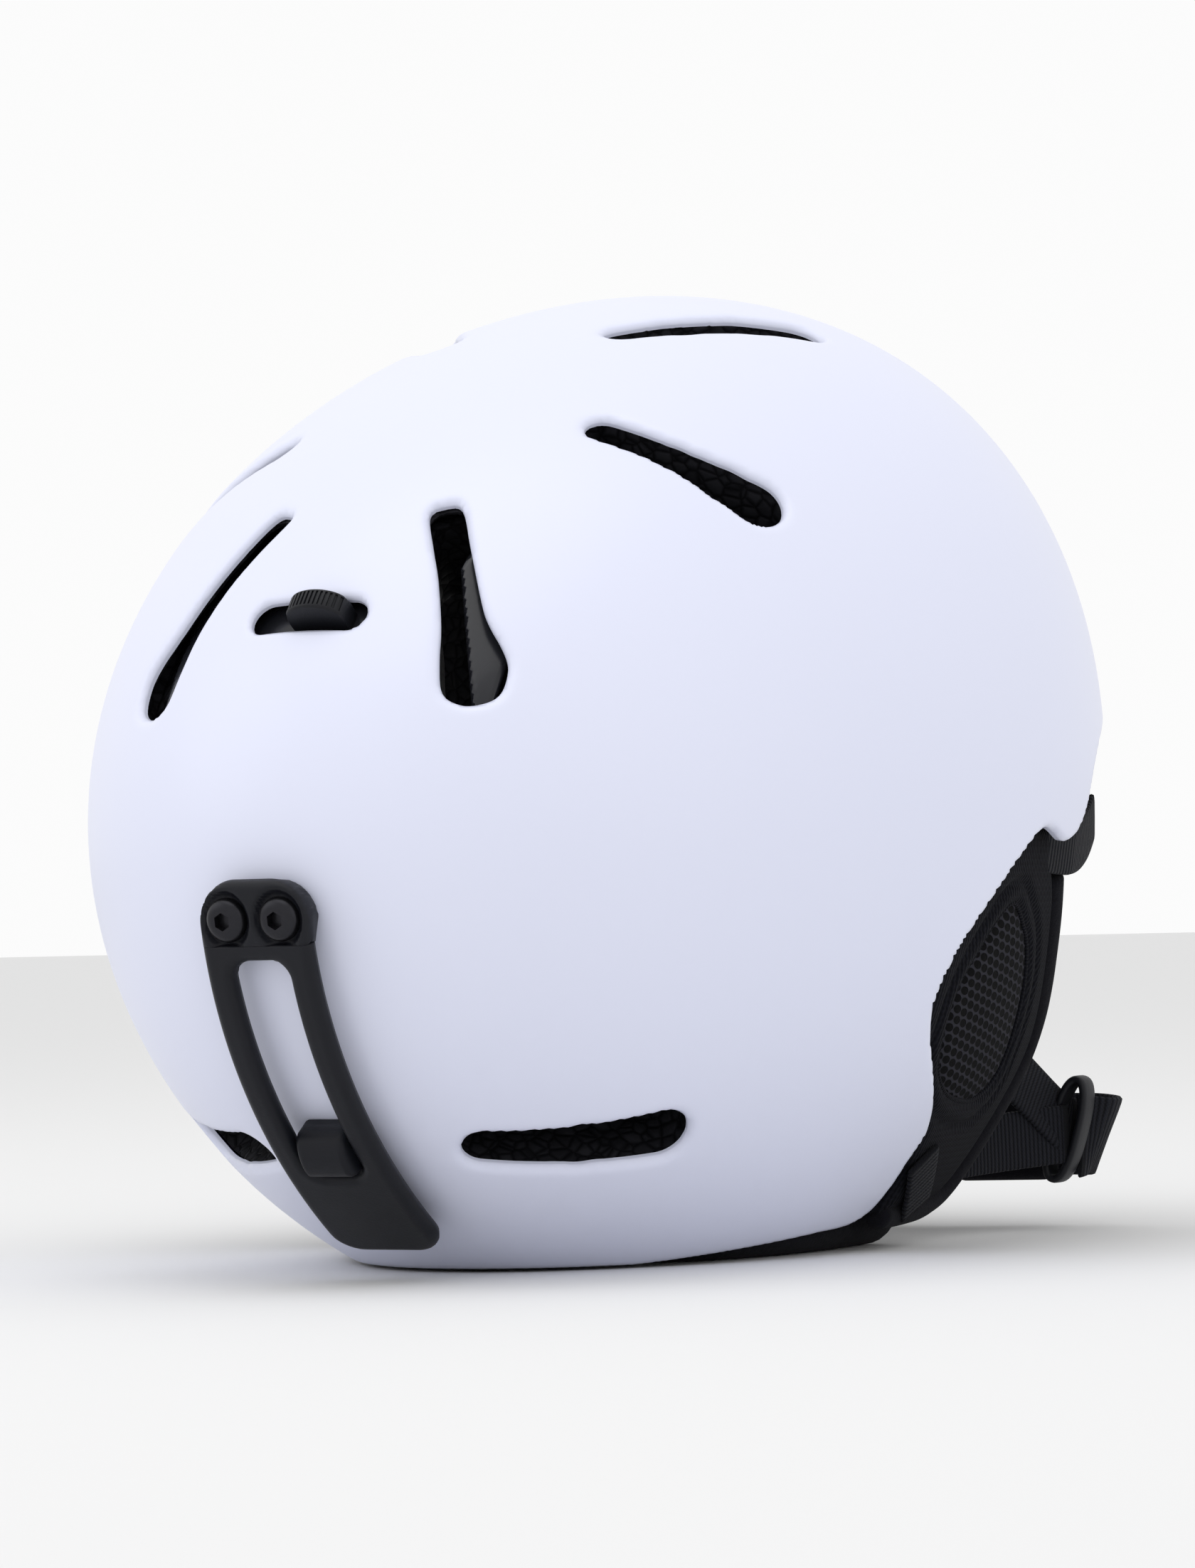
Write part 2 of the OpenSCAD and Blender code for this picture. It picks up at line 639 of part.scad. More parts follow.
module ear_pad() {
    color("#26282b") intersection() {
        pad_slab(0, pad_t);
        difference() {
            across(-120, 0) pad_outline();
            across(-130, 10) mesh_outline(0.3);
        }
    }
}
module ear_mesh() {
    color("#141516") intersection() {
        pad_slab(0.6, pad_t - 1.5);
        across(-120, 0) mesh_outline();
    }
}
module ear_pad_lining() {
    color("#202225") intersection() {
        pad_slab(pad_t + 0.2, pad_t + 4.2);
        across(-120, 0) lining_outline();
    }
}
module front_elastic() {
    color("#1d1e21") intersection() {
        pad_slab(-1.6, 0, 8, 8);
        across(-120, 0) difference() {
            polygon([[-53, 92], [-60, 95.5], [-74, 96], [-80, 91], [-79, 86], [-72, 83], [-58, 82], [-50, 86]]);
            offset(delta = pad_gap) side_outline();
        }
    }
}
module rear_elastic() {
    color("#1d1e21") intersection() {
        pad_slab(-1.6, -0.05, 8, 8);
        across(-120, 0) difference() {
            polygon([[-13, 25], [-28, 21.5], [-30.5, 18], [-22, 8], [-13, 8]]);
            offset(delta = pad_gap) side_outline();
        }
    }
}

// Centres the whole on the origin, front to back.
back_overhang = 4.5;
module place() {
    translate([0, -back_overhang, 0]) children();
}

place() outer_shell();
place() liner_section(-1, -1);  // liner_front_right
place() liner_section(1, -1);  // liner_front_left
place() liner_section(-1, 1);  // liner_rear_right
place() liner_section(1, 1);  // liner_rear_left
place() brow_pad();
place() crown_pad();
place() side_pad();  // side_pad_right
place() mirror([1, 0, 0]) side_pad();  // side_pad_left
place() neck_roll();
place() clip_tab();  // goggle_clip_tab
place() goggle_clip_screws();
place() clip_screw_nuts();
place() goggle_hook();
place() goggle_loop();
place() vent_slider_knob();
place() vent_shutter();
place() fit_dial_housing();
place() fit_dial();
place() fit_dial_cap();
place() fit_band(dial_z + drum_r + fit_gap);  // fit_band_right
place() mirror([1, 0, 0]) fit_band(dial_z - drum_r - fit_gap - band_h);  // fit_band_left
place() strap_anchor();  // strap_anchor_right
place() mirror([1, 0, 0]) strap_anchor();  // strap_anchor_left
place() rear_anchor();  // rear_anchor_right
place() mirror([1, 0, 0]) rear_anchor();  // rear_anchor_left
place() ear_pad();  // ear_pad_right
place() ear_mesh();  // ear_mesh_right
place() ear_pad_lining();  // ear_pad_lining_right
place() front_elastic();  // front_elastic_right
place() rear_elastic();  // rear_elastic_right
place() mirror([1, 0, 0]) ear_pad();  // ear_pad_left
place() mirror([1, 0, 0]) ear_mesh();  // ear_mesh_left
place() mirror([1, 0, 0]) ear_pad_lining();  // ear_pad_lining_left
place() mirror([1, 0, 0]) front_elastic();  // front_elastic_left
place() mirror([1, 0, 0]) rear_elastic();  // rear_elastic_left
place() front_strap();  // front_strap_right
place() rear_strap();  // rear_strap_right
place() strap_ring();  // strap_ring_right
place() chin_web(-24);  // chin_web_right
place() buckle_socket();
place() mirror([1, 0, 0]) front_strap();  // front_strap_left
place() mirror([1, 0, 0]) rear_strap();  // rear_strap_left
place() mirror([1, 0, 0]) strap_ring();  // strap_ring_left
place() mirror([1, 0, 0]) chin_web(-24.4);  // chin_web_left
place() buckle_plug();
place() chin_pad();
place() socket_magnet();
place() plug_magnet();
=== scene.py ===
"""Ski helmet: the shell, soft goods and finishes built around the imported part."""
import math

import bmesh
import bpy
import numpy as np
from mathutils import Matrix, Vector


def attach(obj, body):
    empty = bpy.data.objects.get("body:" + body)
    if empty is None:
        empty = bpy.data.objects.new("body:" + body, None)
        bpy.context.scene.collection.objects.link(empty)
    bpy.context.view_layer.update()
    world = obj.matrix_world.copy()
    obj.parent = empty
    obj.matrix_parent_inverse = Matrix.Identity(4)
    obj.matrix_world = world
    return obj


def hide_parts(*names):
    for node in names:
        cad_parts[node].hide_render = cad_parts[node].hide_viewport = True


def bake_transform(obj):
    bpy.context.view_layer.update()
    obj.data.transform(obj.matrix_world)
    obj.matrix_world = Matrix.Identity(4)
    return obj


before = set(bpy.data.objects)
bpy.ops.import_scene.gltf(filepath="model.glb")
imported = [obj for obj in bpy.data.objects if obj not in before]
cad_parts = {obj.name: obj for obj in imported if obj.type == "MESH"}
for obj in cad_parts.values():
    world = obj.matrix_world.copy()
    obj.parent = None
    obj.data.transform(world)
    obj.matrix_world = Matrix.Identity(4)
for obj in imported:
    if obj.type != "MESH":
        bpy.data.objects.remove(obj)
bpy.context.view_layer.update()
MM = 0.001

# ---------------------------------------------------------------- the head form, in mm
BACK_SHIFT = 4.5  # outlines are drawn from a point this far in front of the frame's origin
TILT = math.radians(18)
HALF_W, HALF_L, HALF_H = 110.0, 139.4, 119.3
WIDER_BACK, NARROWER_TOP = 0.019, 0.065
BACK_STRETCH, CROWN_DROP = 22.4, 18.7
CENTRE_Y, CENTRE_Z = -19, 120
FAR = 60.0  # distance given to whatever is nowhere near


def head_form(u, inset=(0, 0, 0)):
    """Worn position, in mm, of unit directions u on the head form drawn in by inset."""
    gx, gy, gz = inset
    x = (HALF_W - gx) * u[:, 0] * (1 + WIDER_BACK * u[:, 1] - NARROWER_TOP * u[:, 2])
    y = (HALF_L - gy) * u[:, 1] + BACK_STRETCH * u[:, 1] ** 2
    z = (HALF_H - gz) * u[:, 2] - CROWN_DROP * u[:, 2] ** 2
    c, s = math.cos(TILT), math.sin(TILT)
    return np.stack([x, y * c + z * s + CENTRE_Y - BACK_SHIFT, z * c - y * s + CENTRE_Z], 1)


def form_normal(u, inset=(0, 0, 0)):
    """Outward normal of the head form in directions u."""
    helper = np.where(np.abs(u[:, 2:3]) < 0.8, [[0.0, 0.0, 1.0]], [[1.0, 0.0, 0.0]])
    t = np.cross(helper, u)
    t /= np.linalg.norm(t, axis=1)[:, None]
    w = np.cross(u, t)
    step = 0.002
    n = np.cross(head_form(u + step * t, inset) - head_form(u - step * t, inset),
                 head_form(u + step * w, inset) - head_form(u - step * w, inset))
    n /= np.linalg.norm(n, axis=1)[:, None]
    return n


def direction(lon, lat):
    """Unit vectors at longitudes, 0 at the back and growing to the left, and latitudes, in degrees."""
    lon = np.radians(np.atleast_1d(lon).astype(float))
    lat = np.radians(np.atleast_1d(lat).astype(float))
    return np.stack([np.cos(lat) * np.sin(lon), np.cos(lat) * np.cos(lon), np.sin(lat)], 1)


def spline(p, n=3, closed=False):
    """Catmull-Rom curve through p, n steps a span."""
    p = np.asarray(p, float)
    out, last = [], len(p) - 1
    for i in range(len(p) if closed else last):
        k = [(i - 1) % len(p), i, (i + 1) % len(p), (i + 2) % len(p)] if closed else \
            [max(i - 1, 0), i, i + 1, min(i + 2, last)]
        a, b, c, d = p[k]
        for t in np.arange(n) / n:
            out.append(0.5 * (2 * b + (c - a) * t + (2 * a - 5 * b + 4 * c - d) * t ** 2
                              + (3 * b - a - 3 * c + d) * t ** 3))
    if not closed:
        out.append(p[-1])
    return np.array(out)


# ---------------------------------------------------------------- distances that draw outlines
def to_polygon(q, poly):
    """Signed distance from points q to a closed outline, positive outside."""
    a = np.asarray(poly, float)
    b = np.roll(a, -1, 0)
    best = np.full(len(q), 1e9)
    odd = np.zeros(len(q), bool)
    for p0, p1 in zip(a, b):
        e = p1 - p0
        w = q - p0
        t = np.clip((w @ e) / (e @ e + 1e-12), 0, 1)
        best = np.minimum(best, np.hypot(*(w - t[:, None] * e).T))
        cross = (p0[1] > q[:, 1]) != (p1[1] > q[:, 1])
        with np.errstate(divide="ignore", invalid="ignore"):
            odd ^= cross & (q[:, 0] < (p1[0] - p0[0]) * (q[:, 1] - p0[1]) / (p1[1] - p0[1]) + p0[0])
    return np.where(odd, -best, best)


def to_spots(q, spots, melt=2.5):
    """Signed distance to a chain of round spots [s, w, radius] drawn together, positive outside."""
    total = None
    for (s0, w0, r0), (s1, w1, r1) in zip(spots, spots[1:]):
        e = np.array([s1 - s0, w1 - w0])
        w = q - [s0, w0]
        h = e @ e
        along = (w @ e) / h
        side = np.abs(w @ np.array([-e[1], e[0]])) / h
        b = r0 - r1
        c = np.array([math.sqrt(max(h - b * b, 1e-9)), b])
        k = c[0] * along - c[1] * side
        m = c[0] * side + c[1] * along
        n = side ** 2 + along ** 2
        d = np.where(k < 0, np.sqrt(h * n) - r0,
                     np.where(k > c[0], np.sqrt(np.maximum(h * (n + 1 - 2 * along), 0)) - r1, m - r0))
        if total is None:
            total = d
        else:
            t = np.clip(0.5 + 0.5 * (d - total) / melt, 0, 1)
            total = d * (1 - t) + total * t - melt * t * (1 - t) * 0.5
    return total


# The lower edge from the side, in y and z.
rear_edge = [[45, 0], [34, 1.2], [18, 3], [2, 4.8], [-7, 5.7], [-11.5, 8.5], [-11.5, 14], [-9.4, 21]]
ear_edge = [[-9.4, 21], [-9.3, 27], [-5, 33], [3, 41], [10, 48], [14.4, 55], [14.2, 62], [10.5, 70],
            [4, 78], [-6, 87.4], [-14.5, 93.5], [-20, 95.6], [-26, 94.4], [-32, 92.4], [-37.5, 93.2],
            [-43.5, 96.5], [-48, 101.5]]
brow_edge = [[-48, 101.5], [-54, 110], [-64, 117], [-80, 122], [-105, 125], [-150, 126]]
shell_side = np.vstack([[[190, 0]], spline(rear_edge), spline(ear_edge), spline(brow_edge),
                        [[-190, 126], [-190, 250], [190, 250]]]) - [BACK_SHIFT, 0]

rear_vent = spline([(-29.6, -4.0), (-31.2, -0.3), (-29.4, 3.2), (-16.9, 3.7), (-0.2, 4.4), (5.8, 5.4),
                    (11.5, 7.3), (16.6, 8.0), (22.4, 5.6), (24.3, 1.2), (23.9, -3.4), (20.6, -6.8),
                    (12.4, -6.3), (4.1, -5.0), (-9, -4.2), (-18.9, -4.3)], 4, closed=True)
# Each opening is its longitude, latitude, twist, outline and lip, and each vent has a twin on the left.
REAR_VENT = (-22.8, 36.2, 8, rear_vent, 2.8)
UPPER_REAR_VENT = (-57.3, 47.3, 48, [[-20.5, -.6, 4.3], [-4, -.3, 4.4], [9, -.2, 5.9], [17, .2, 6.9]], 2.8)
CROWN_VENT = (-103, 67.3, 93, [[-25, 0, 4.4], [-12, 0, 5.4], [6, .6, 5.9], [21, 0, 5.5]], 3.0)
LOW_REAR_VENT = (-26, -25.6, 94, [[-21, 0, 5.0], [0, 0, 5.9], [18, .2, 6.6]], 2.8)
BROW_VENT = (-152, 20, 80, [[-15, 0, 3.6], [0, 0, 4.3], [15, 0, 3.6]], 2.6)
VENTS = [REAR_VENT, UPPER_REAR_VENT, CROWN_VENT, LOW_REAR_VENT, BROW_VENT]
SLOT = (0, 37.8, 90, [[-10.3, -.4, 4.2], [10.3, -.4, 4.2]], 2.0)


def stand(lon, lat, twist):
    """Origin and axes of a flat frame standing on the shell: s down before the twist, w across, h out."""
    u = direction(lon, lat)
    n = form_normal(u)[0]
    turn = (Matrix.Rotation(math.atan2(n[1], n[0]), 3, "Z") @ Matrix.Rotation(math.acos(n[2]), 3, "Y")
            @ Matrix.Rotation(math.radians(twist), 3, "Z"))
    return head_form(u)[0], np.array(turn)


def opening_distance(p, opening, side=1):
    """Distance over the shell from points p to one opening, positive outside it."""
    lon, lat, twist, outline, _ = opening
    origin, axes = stand(lon, lat, twist)
    q = (p * [side, 1, 1] - origin) @ axes
    far = np.linalg.norm(q, axis=1) > FAR + 2
    flat = q[:, :2]
    d = to_polygon(flat, outline) if len(outline[0]) == 2 else to_spots(flat, outline)
    return np.where(far, FAR, d)


# ---------------------------------------------------------------- mesh work
def coords(bm):
    return np.array([v.co[:] for v in bm.verts])


def place_verts(bm, where):
    for v, c in zip(bm.verts, where):
        v.co = c


def carve(bm, field, snap=0.25):
    """Cuts a mesh along the line where field is 0 and keeps the positive side.
    A vertex nearer to the line than snap of its edge moves onto it, and no sliver is cut."""
    value = dict(zip(bm.verts, field(coords(bm))))
    line = set()
    edges = list(bm.edges)
    for close in (True, False):
        for e in edges:
            a, b = e.verts
            va, vb = value[a], value[b]
            if va * vb >= 0:
                continue
            t = va / (va - vb)
            if close and t < snap:
                a.co = a.co.lerp(b.co, t)
                value[a] = 0
                line.add(a)
            elif close and t > 1 - snap:
                b.co = a.co.lerp(b.co, t)
                value[b] = 0
                line.add(b)
        if close:
            cut = [(e, e.verts[0], e.verts[1]) for e in edges
                   if value[e.verts[0]] * value[e.verts[1]] < 0]
    for e, a, b in cut:
        va, vb = value[a], value[b]
        line.add(bmesh.utils.edge_split(e, a, va / (va - vb))[1])
    bmesh.ops.connect_verts(bm, verts=list(line))
    gone, unsure = [], []
    for f in bm.faces:
        known = [value[v] for v in f.verts if v not in line]
        if known:
            if max(known, key=abs) < 0:
                gone.append(f)
        else:
            unsure.append(f)
    if unsure:
        centre = field(np.array([f.calc_center_median()[:] for f in unsure]))
        gone += [f for f, d in zip(unsure, centre) if d < 0]
    bmesh.ops.delete(bm, geom=gone, context="FACES")
    stray = [v for v in bm.verts if not v.link_faces]
    bmesh.ops.delete(bm, geom=stray, context="VERTS")


def finish_mesh(bm, name, mirror=False, recalc=True):
    """Turns a bmesh drawn in mm into a finished object in metres."""
    if mirror:
        bmesh.ops.scale(bm, vec=(-1, 1, 1), verts=bm.verts)
        bmesh.ops.reverse_faces(bm, faces=bm.faces)
    if recalc:
        bmesh.ops.recalc_face_normals(bm, faces=bm.faces)
    bmesh.ops.scale(bm, vec=(MM, MM, MM), verts=bm.verts)
    for f in bm.faces:
        f.smooth = True
    mesh = bpy.data.meshes.new(name)
    bm.to_mesh(mesh)
    bm.free()
    obj = bpy.data.objects.new(name, mesh)
    bpy.context.scene.collection.objects.link(obj)
    return obj


def give(obj, material, slot_name, body, *nodes, auto=None):
    """Finish, material slot, body and the CAD nodes a piece stands for; the slot's name, slot_name, is not
    used.
    """
    obj.data.materials.append(material)
    if auto is not None:
        bpy.context.view_layer.objects.active = obj
        for o in bpy.context.selected_objects:
            o.select_set(False)
        obj.select_set(True)
        bpy.ops.object.shade_smooth_by_angle(angle=math.radians(auto), keep_sharp_edges=True)
        obj.select_set(False)
    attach(obj, body)
    if nodes:
        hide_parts(*nodes)
    return obj


# ---------------------------------------------------------------- shader maths
class Tree:
    """A material's node tree."""

    def __init__(self, name, **uniform):
        self.material = bpy.data.materials.new(name)
        self.material.use_nodes = True
        self.tree = self.material.node_tree
        self.shader = self.tree.nodes["Principled BSDF"]
        for k, v in uniform.items():
            self.set(k.replace("_", " "), v)

    def set(self, socket, value):
        target = self.shader.inputs[socket]
        if isinstance(value, Sock):
            self.tree.links.new(value.socket, target)
        elif isinstance(value, (tuple, list)) and len(value) == 3:
            target.default_value = (*value, 1)
        else:
            target.default_value = value

    def node(self, kind, settings=None, inputs=None, out=0):
        n = self.tree.nodes.new(kind)
        for k, v in (settings or {}).items():
            if k == "stops":
                ramp = n.color_ramp
                while len(ramp.elements) < len(v):
                    ramp.elements.new(0.5)
                for el, (pos, col) in zip(ramp.elements, v):
                    el.position = pos
                    el.color = (col, col, col, 1) if isinstance(col, (int, float)) else (*col, 1)
            else:
                setattr(n, k, v)
        for k, v in (inputs or {}).items():
            target = n.inputs[k]
            if isinstance(v, Sock):
                self.tree.links.new(v.socket, target)
            elif isinstance(v, (tuple, list)) and target.type == "RGBA" and len(v) == 3:
                target.default_value = (*v, 1)
            else:
                target.default_value = v
        return Sock(self, n.outputs[out])

    def place(self, scale=(1, 1, 1), turn=(0, 0, 0), uv=False):
        where = self.node("ShaderNodeTexCoord", out="UV" if uv else "Object")
        return self.node("ShaderNodeMapping", inputs={"Vector": where, "Scale": scale, "Rotation": turn})

    def noise(self, vector, scale, detail=3, rough=0.5):
        return self.node("ShaderNodeTexNoise", inputs={"Vector": vector, "Scale": scale, "Detail": detail,
                                                       "Roughness": rough})

    def cells(self, vector, scale, feature="F1", out="Distance"):
        ins = {"Vector": vector, "Scale": scale}
        return self.node("ShaderNodeTexVoronoi", {"feature": feature}, ins, out)

    def split(self, vector):
        return [self.node("ShaderNodeSeparateXYZ", inputs={"Vector": vector}, out=i) for i in range(3)]

    def mix(self, t, a, b):
        n = self.tree.nodes.new("ShaderNodeMix")
        n.data_type = "RGBA"
        for k, v in ((0, t), (6, a), (7, b)):
            if isinstance(v, Sock):
                self.tree.links.new(v.socket, n.inputs[k])
            elif k:
                n.inputs[k].default_value = (*v, 1)
            else:
                n.inputs[k].default_value = v
        return Sock(self, n.outputs[2])

    def bump(self, height, distance, strength=1.0, under=None):
        ins = {"Height": height, "Distance": distance, "Strength": strength}
        if under is not None:
            ins["Normal"] = under
        return self.node("ShaderNodeBump", inputs=ins)


class Sock:
    """One output socket; operators on it add Math nodes."""

    def __init__(self, tree, socket):
        self.tree, self.socket = tree, socket

    def math(self, op, *others, clamp=False):
        n = self.tree.tree.nodes.new("ShaderNodeMath")
        n.operation, n.use_clamp = op, clamp
        for i, v in enumerate((self, *others)):
            if isinstance(v, Sock):
                self.tree.tree.links.new(v.socket, n.inputs[i])
            else:
                n.inputs[i].default_value = v
        return Sock(self.tree, n.outputs[0])

    def _swap(self, op, other):
        n = self.tree.tree.nodes.new("ShaderNodeMath")
        n.operation = op
        n.inputs[0].default_value = other
        self.tree.tree.links.new(self.socket, n.inputs[1])
        return Sock(self.tree, n.outputs[0])

    def __add__(self, o):
        return self.math("ADD", o)

    def __sub__(self, o):
        return self.math("SUBTRACT", o)

    def __rsub__(self, o):
        return self._swap("SUBTRACT", o)

    def __mul__(self, o):
        return self.math("MULTIPLY", o)

    def __truediv__(self, o):
        return self.math("DIVIDE", o)

    def __pow__(self, o):
        return self.math("POWER", o)

    __radd__, __rmul__ = __add__, __mul__

    def sin(self):
        return self.math("SINE")

    def abs(self):
        return self.math("ABSOLUTE")

    def root(self):
        return self.math("SQRT")

    def fract(self):
        return self.math("FRACT")

    def floor(self):
        return self.math("FLOOR")

    def clip(self):
        return self.math("MULTIPLY", 1, clamp=True)


def shell_finish():
    """Satin white lacquer over the moulded shell."""
    t = Tree("shell_white", Specular_IOR_Level=0.4, Coat_Weight=0.15, Coat_Roughness=0.28)
    o = t.place()
    cloudy = t.noise(o, 14, 2)
    t.set("Base Color", t.mix(cloudy * 0.5, (0.715, 0.74, 0.885), (0.735, 0.755, 0.9)))
    orange_peel = t.noise(o, 420, 2)
    t.set("Roughness", cloudy * 0.06 + 0.33)
    t.set("Normal", t.bump(orange_peel, 0.00004, 0.35))
    return t.material


def foam_finish():
    """Bead foam: packed beads with dark lines between them."""
    t = Tree("foam_black", Specular_IOR_Level=0.1)
    o = t.place()
    beads = 320
    bead = t.cells(o, beads)
    edge = t.cells(o, beads, "DISTANCE_TO_EDGE")
    tone = t.cells(o, beads, out="Color")
    shade = t.split(tone)[0]
    line = (edge * 5).clip()
    t.set("Base Color", t.mix(line * (shade * 0.5 + 0.5), (0.003, 0.003, 0.004), (0.02, 0.02, 0.024)))
    t.set("Roughness", 0.62 + shade * 0.2)
    t.set("Normal", t.bump((1 - bead) * 0.8 + line * 0.4, 0.0006, 0.7))
    return t.material


def rubber_finish():
    """Moulded rubber with a fine satin grain and dust-pale wear."""
    t = Tree("clip_rubber", Specular_IOR_Level=0.2)
    o = t.place()
    grain = t.noise(o, 1800, 3)
    cloud = t.noise(o, 60, 3)
    base = (0.006, 0.0065, 0.0095)
    t.set("Base Color", t.mix(cloud * 0.6, base, tuple(c * 1.7 for c in base)))
    t.set("Roughness", cloud * 0.16 + 0.38)
    t.set("Normal", t.bump(grain, 0.00006, 0.5))
    return t.material


def plastic_finish(name, base, rough=0.45, grain_scale=1400, coat=0.0):
    """Hard plastic with a moulded grain."""
    t = Tree(name, Specular_IOR_Level=0.22, Coat_Weight=coat, Coat_Roughness=0.12)
    o = t.place()
    grain = t.cells(o, grain_scale)
    cloud = t.noise(o, 45, 3)
    t.set("Base Color", t.mix(cloud * 0.5, base, tuple(c * 1.5 for c in base)))
    t.set("Roughness", cloud * 0.12 + (rough - 0.05))
    t.set("Normal", t.bump(grain, 0.00005, 0.4))
    return t.material


def steel_finish(name, base, metallic=1.0, rough=0.32):
    """Metal with a finely uneven polish."""
    t = Tree(name, Metallic=metallic)
    fine = t.noise(t.place(), 900, 3)
    t.set("Base Color", t.mix(fine * 0.4, base, tuple(min(1, c * 1.5) for c in base)))
    t.set("Roughness", fine * 0.15 + (rough - 0.05))
    t.set("Normal", t.bump(fine, 0.00003, 0.5))
    return t.material


def fleece_finish():
    """Brushed fleece: short fibres in soft tufts."""
    t = Tree("pad_fleece", Roughness=0.95, Sheen_Weight=0.03, Sheen_Roughness=0.6, Specular_IOR_Level=0.05)
    o = t.place()
    tuft = t.noise(o, 700, 4, 0.7)
    fibre = t.noise(t.place((1, 1, 5)), 1700, 3, 0.7)
    both = tuft * 0.6 + fibre * 0.4
    t.set("Base Color", t.mix(both, (0.002, 0.002, 0.003), (0.013, 0.013, 0.018)))
    t.set("Normal", t.bump(both, 0.0008, 0.8))
    return t.material


def knit_finish():
    """Fine ribbed knit: close vertical wales with small stitches up each."""
    t = Tree("pad_knit", Roughness=0.85, Sheen_Weight=0.02, Sheen_Roughness=0.5, Specular_IOR_Level=0.04)
    u, v, _ = t.split(t.place(uv=True))
    wale_pitch, stitch_pitch = 0.0011, 0.0014
    wale = (u * 2 * math.pi / wale_pitch).sin() * 0.5 + 0.5
    bow = (u * math.pi / wale_pitch).sin().abs() * 2
    stitch = (v * 2 * math.pi / stitch_pitch + bow).sin() * 0.5 + 0.5
    height = wale * 0.65 + stitch * 0.35
    fuzz = t.noise(t.place(), 1600, 3)
    # The colour follows the knit's height: painted shade darkens the grooves between wales and stitches, and
    # the fuzz adds random tone.
    t.set("Base Color", t.mix(height * 0.8 + fuzz * 0.2, (0.002, 0.002, 0.003), (0.0095, 0.01, 0.014)))
    t.set("Normal", t.bump(height + fuzz * 0.2, 0.0003, 0.75))
    return t.material


def mesh_finish():
    """Open ear mesh: staggered rows of long cells between raised cords."""
    t = Tree("ear_mesh", Roughness=0.7, Specular_IOR_Level=0.04)
    u, v, _ = t.split(t.place((1, 1, 1), (0, 0, math.radians(-12)), uv=True))
    cell_long, cell_tall = 0.0039, 0.0021
    row = (v * (1 / cell_tall)).floor()
    x = (u * (1 / cell_long) + row * 0.5).fract() - 0.5
    y = (v * (1 / cell_tall)).fract() - 0.5
    from_middle = ((x * x) * 4.6 + (y * y) * 5.4).root()
    open_part = ((1.06 - from_middle) * 5).clip()
    fuzz = t.noise(t.place(), 1500, 2)
    # The open cells are painted near-black: painted shade seen through the openings, as the window is a closed
    # sheet over the pad.
    t.set("Base Color", t.mix(open_part, (0.024, 0.024, 0.031), (0.0006, 0.0006, 0.001)))
    t.set("Normal", t.bump(1 - open_part + fuzz * 0.1, 0.0008, 0.9))
    return t.material


def satin_finish():
    """Smooth lining cloth with a slight sheen."""
    t = Tree("lining_satin", Sheen_Weight=0.05, Sheen_Roughness=0.4, Specular_IOR_Level=0.2)
    u, v, _ = t.split(t.place(uv=True))
    thread = 0.0006
    weave = (u * 2 * math.pi / thread).sin() * (v * 2 * math.pi / thread).sin() * 0.5 + 0.5
    drape = t.noise(t.place(), 45, 3)
    # The colour follows the weave's and the drape's heights: painted shade between the threads and in the
    # drape's hollows, lighter on its folds.
    t.set("Base Color", t.mix(weave * 0.5 + drape * 0.5, (0.005, 0.006, 0.011), (0.013, 0.015, 0.024)))
    t.set("Roughness", drape * 0.2 + 0.45)
    t.set("Normal", t.bump(drape, 0.0012, 0.3, t.bump(weave, 0.00015, 0.6)))
    return t.material


def webbing_finish(name="webbing", rib=0.00125, dark=(0.002, 0.002, 0.003), light=(0.018, 0.019, 0.025)):
    """Woven strap: raised ribs across it, crossed by a fine lengthwise yarn."""
    t = Tree(name, Roughness=0.72, Sheen_Weight=0.03, Sheen_Roughness=0.4, Specular_IOR_Level=0.07)
    u, v, _ = t.split(t.place(uv=True))
    ribs = ((u * 2 * math.pi / rib).sin() * 0.5 + 0.5) ** 0.7
    yarn_pitch = 0.0009
    yarn = (v * 2 * math.pi / yarn_pitch + (u * math.pi / rib).floor() * math.pi).sin() * 0.5 + 0.5
    fuzz = t.noise(t.place(), 1400, 3)
    height = ribs * 0.75 + yarn * 0.25
    # The colour follows the weave's height: painted shade darkens the grooves between ribs and yarns. dark is
    # the groove colour and light the crown colour, and the fuzz adds random tone.
    t.set("Base Color", t.mix(height * 0.85 + fuzz * 0.15, dark, light))
    t.set("Normal", t.bump(height + fuzz * 0.12, 0.00045, 0.85))
    return t.material


SHELL = shell_finish()
FOAM = foam_finish()
RUBBER = rubber_finish()
MOULDED = plastic_finish("moulded_black", (0.007, 0.0075, 0.01))
SHUTTER = plastic_finish("shutter_grey", (0.012, 0.0125, 0.016), 0.25, 300, 0.25)
BLACK_STEEL = steel_finish("screw_black", (0.022, 0.022, 0.026), 0.85, 0.3)
STEEL = steel_finish("steel", (0.55, 0.55, 0.56))
FLEECE = fleece_finish()
KNIT = knit_finish()
MESH = mesh_finish()
SATIN = satin_finish()
# Webbing and elastic carry painted shade in the grooves between their ribs, from their dark and light colours.
WEBBING = webbing_finish()
ELASTIC = webbing_finish("elastic", 0.0016, (0.002, 0.002, 0.003), (0.015, 0.016, 0.021))


# ---------------------------------------------------------------- the shell
RIM_ROLL, RIM_SINK = 1.4, 1.3
VENT_WALL, RIM_WALL = (0.3, 0.6), (0.5, 0.9)


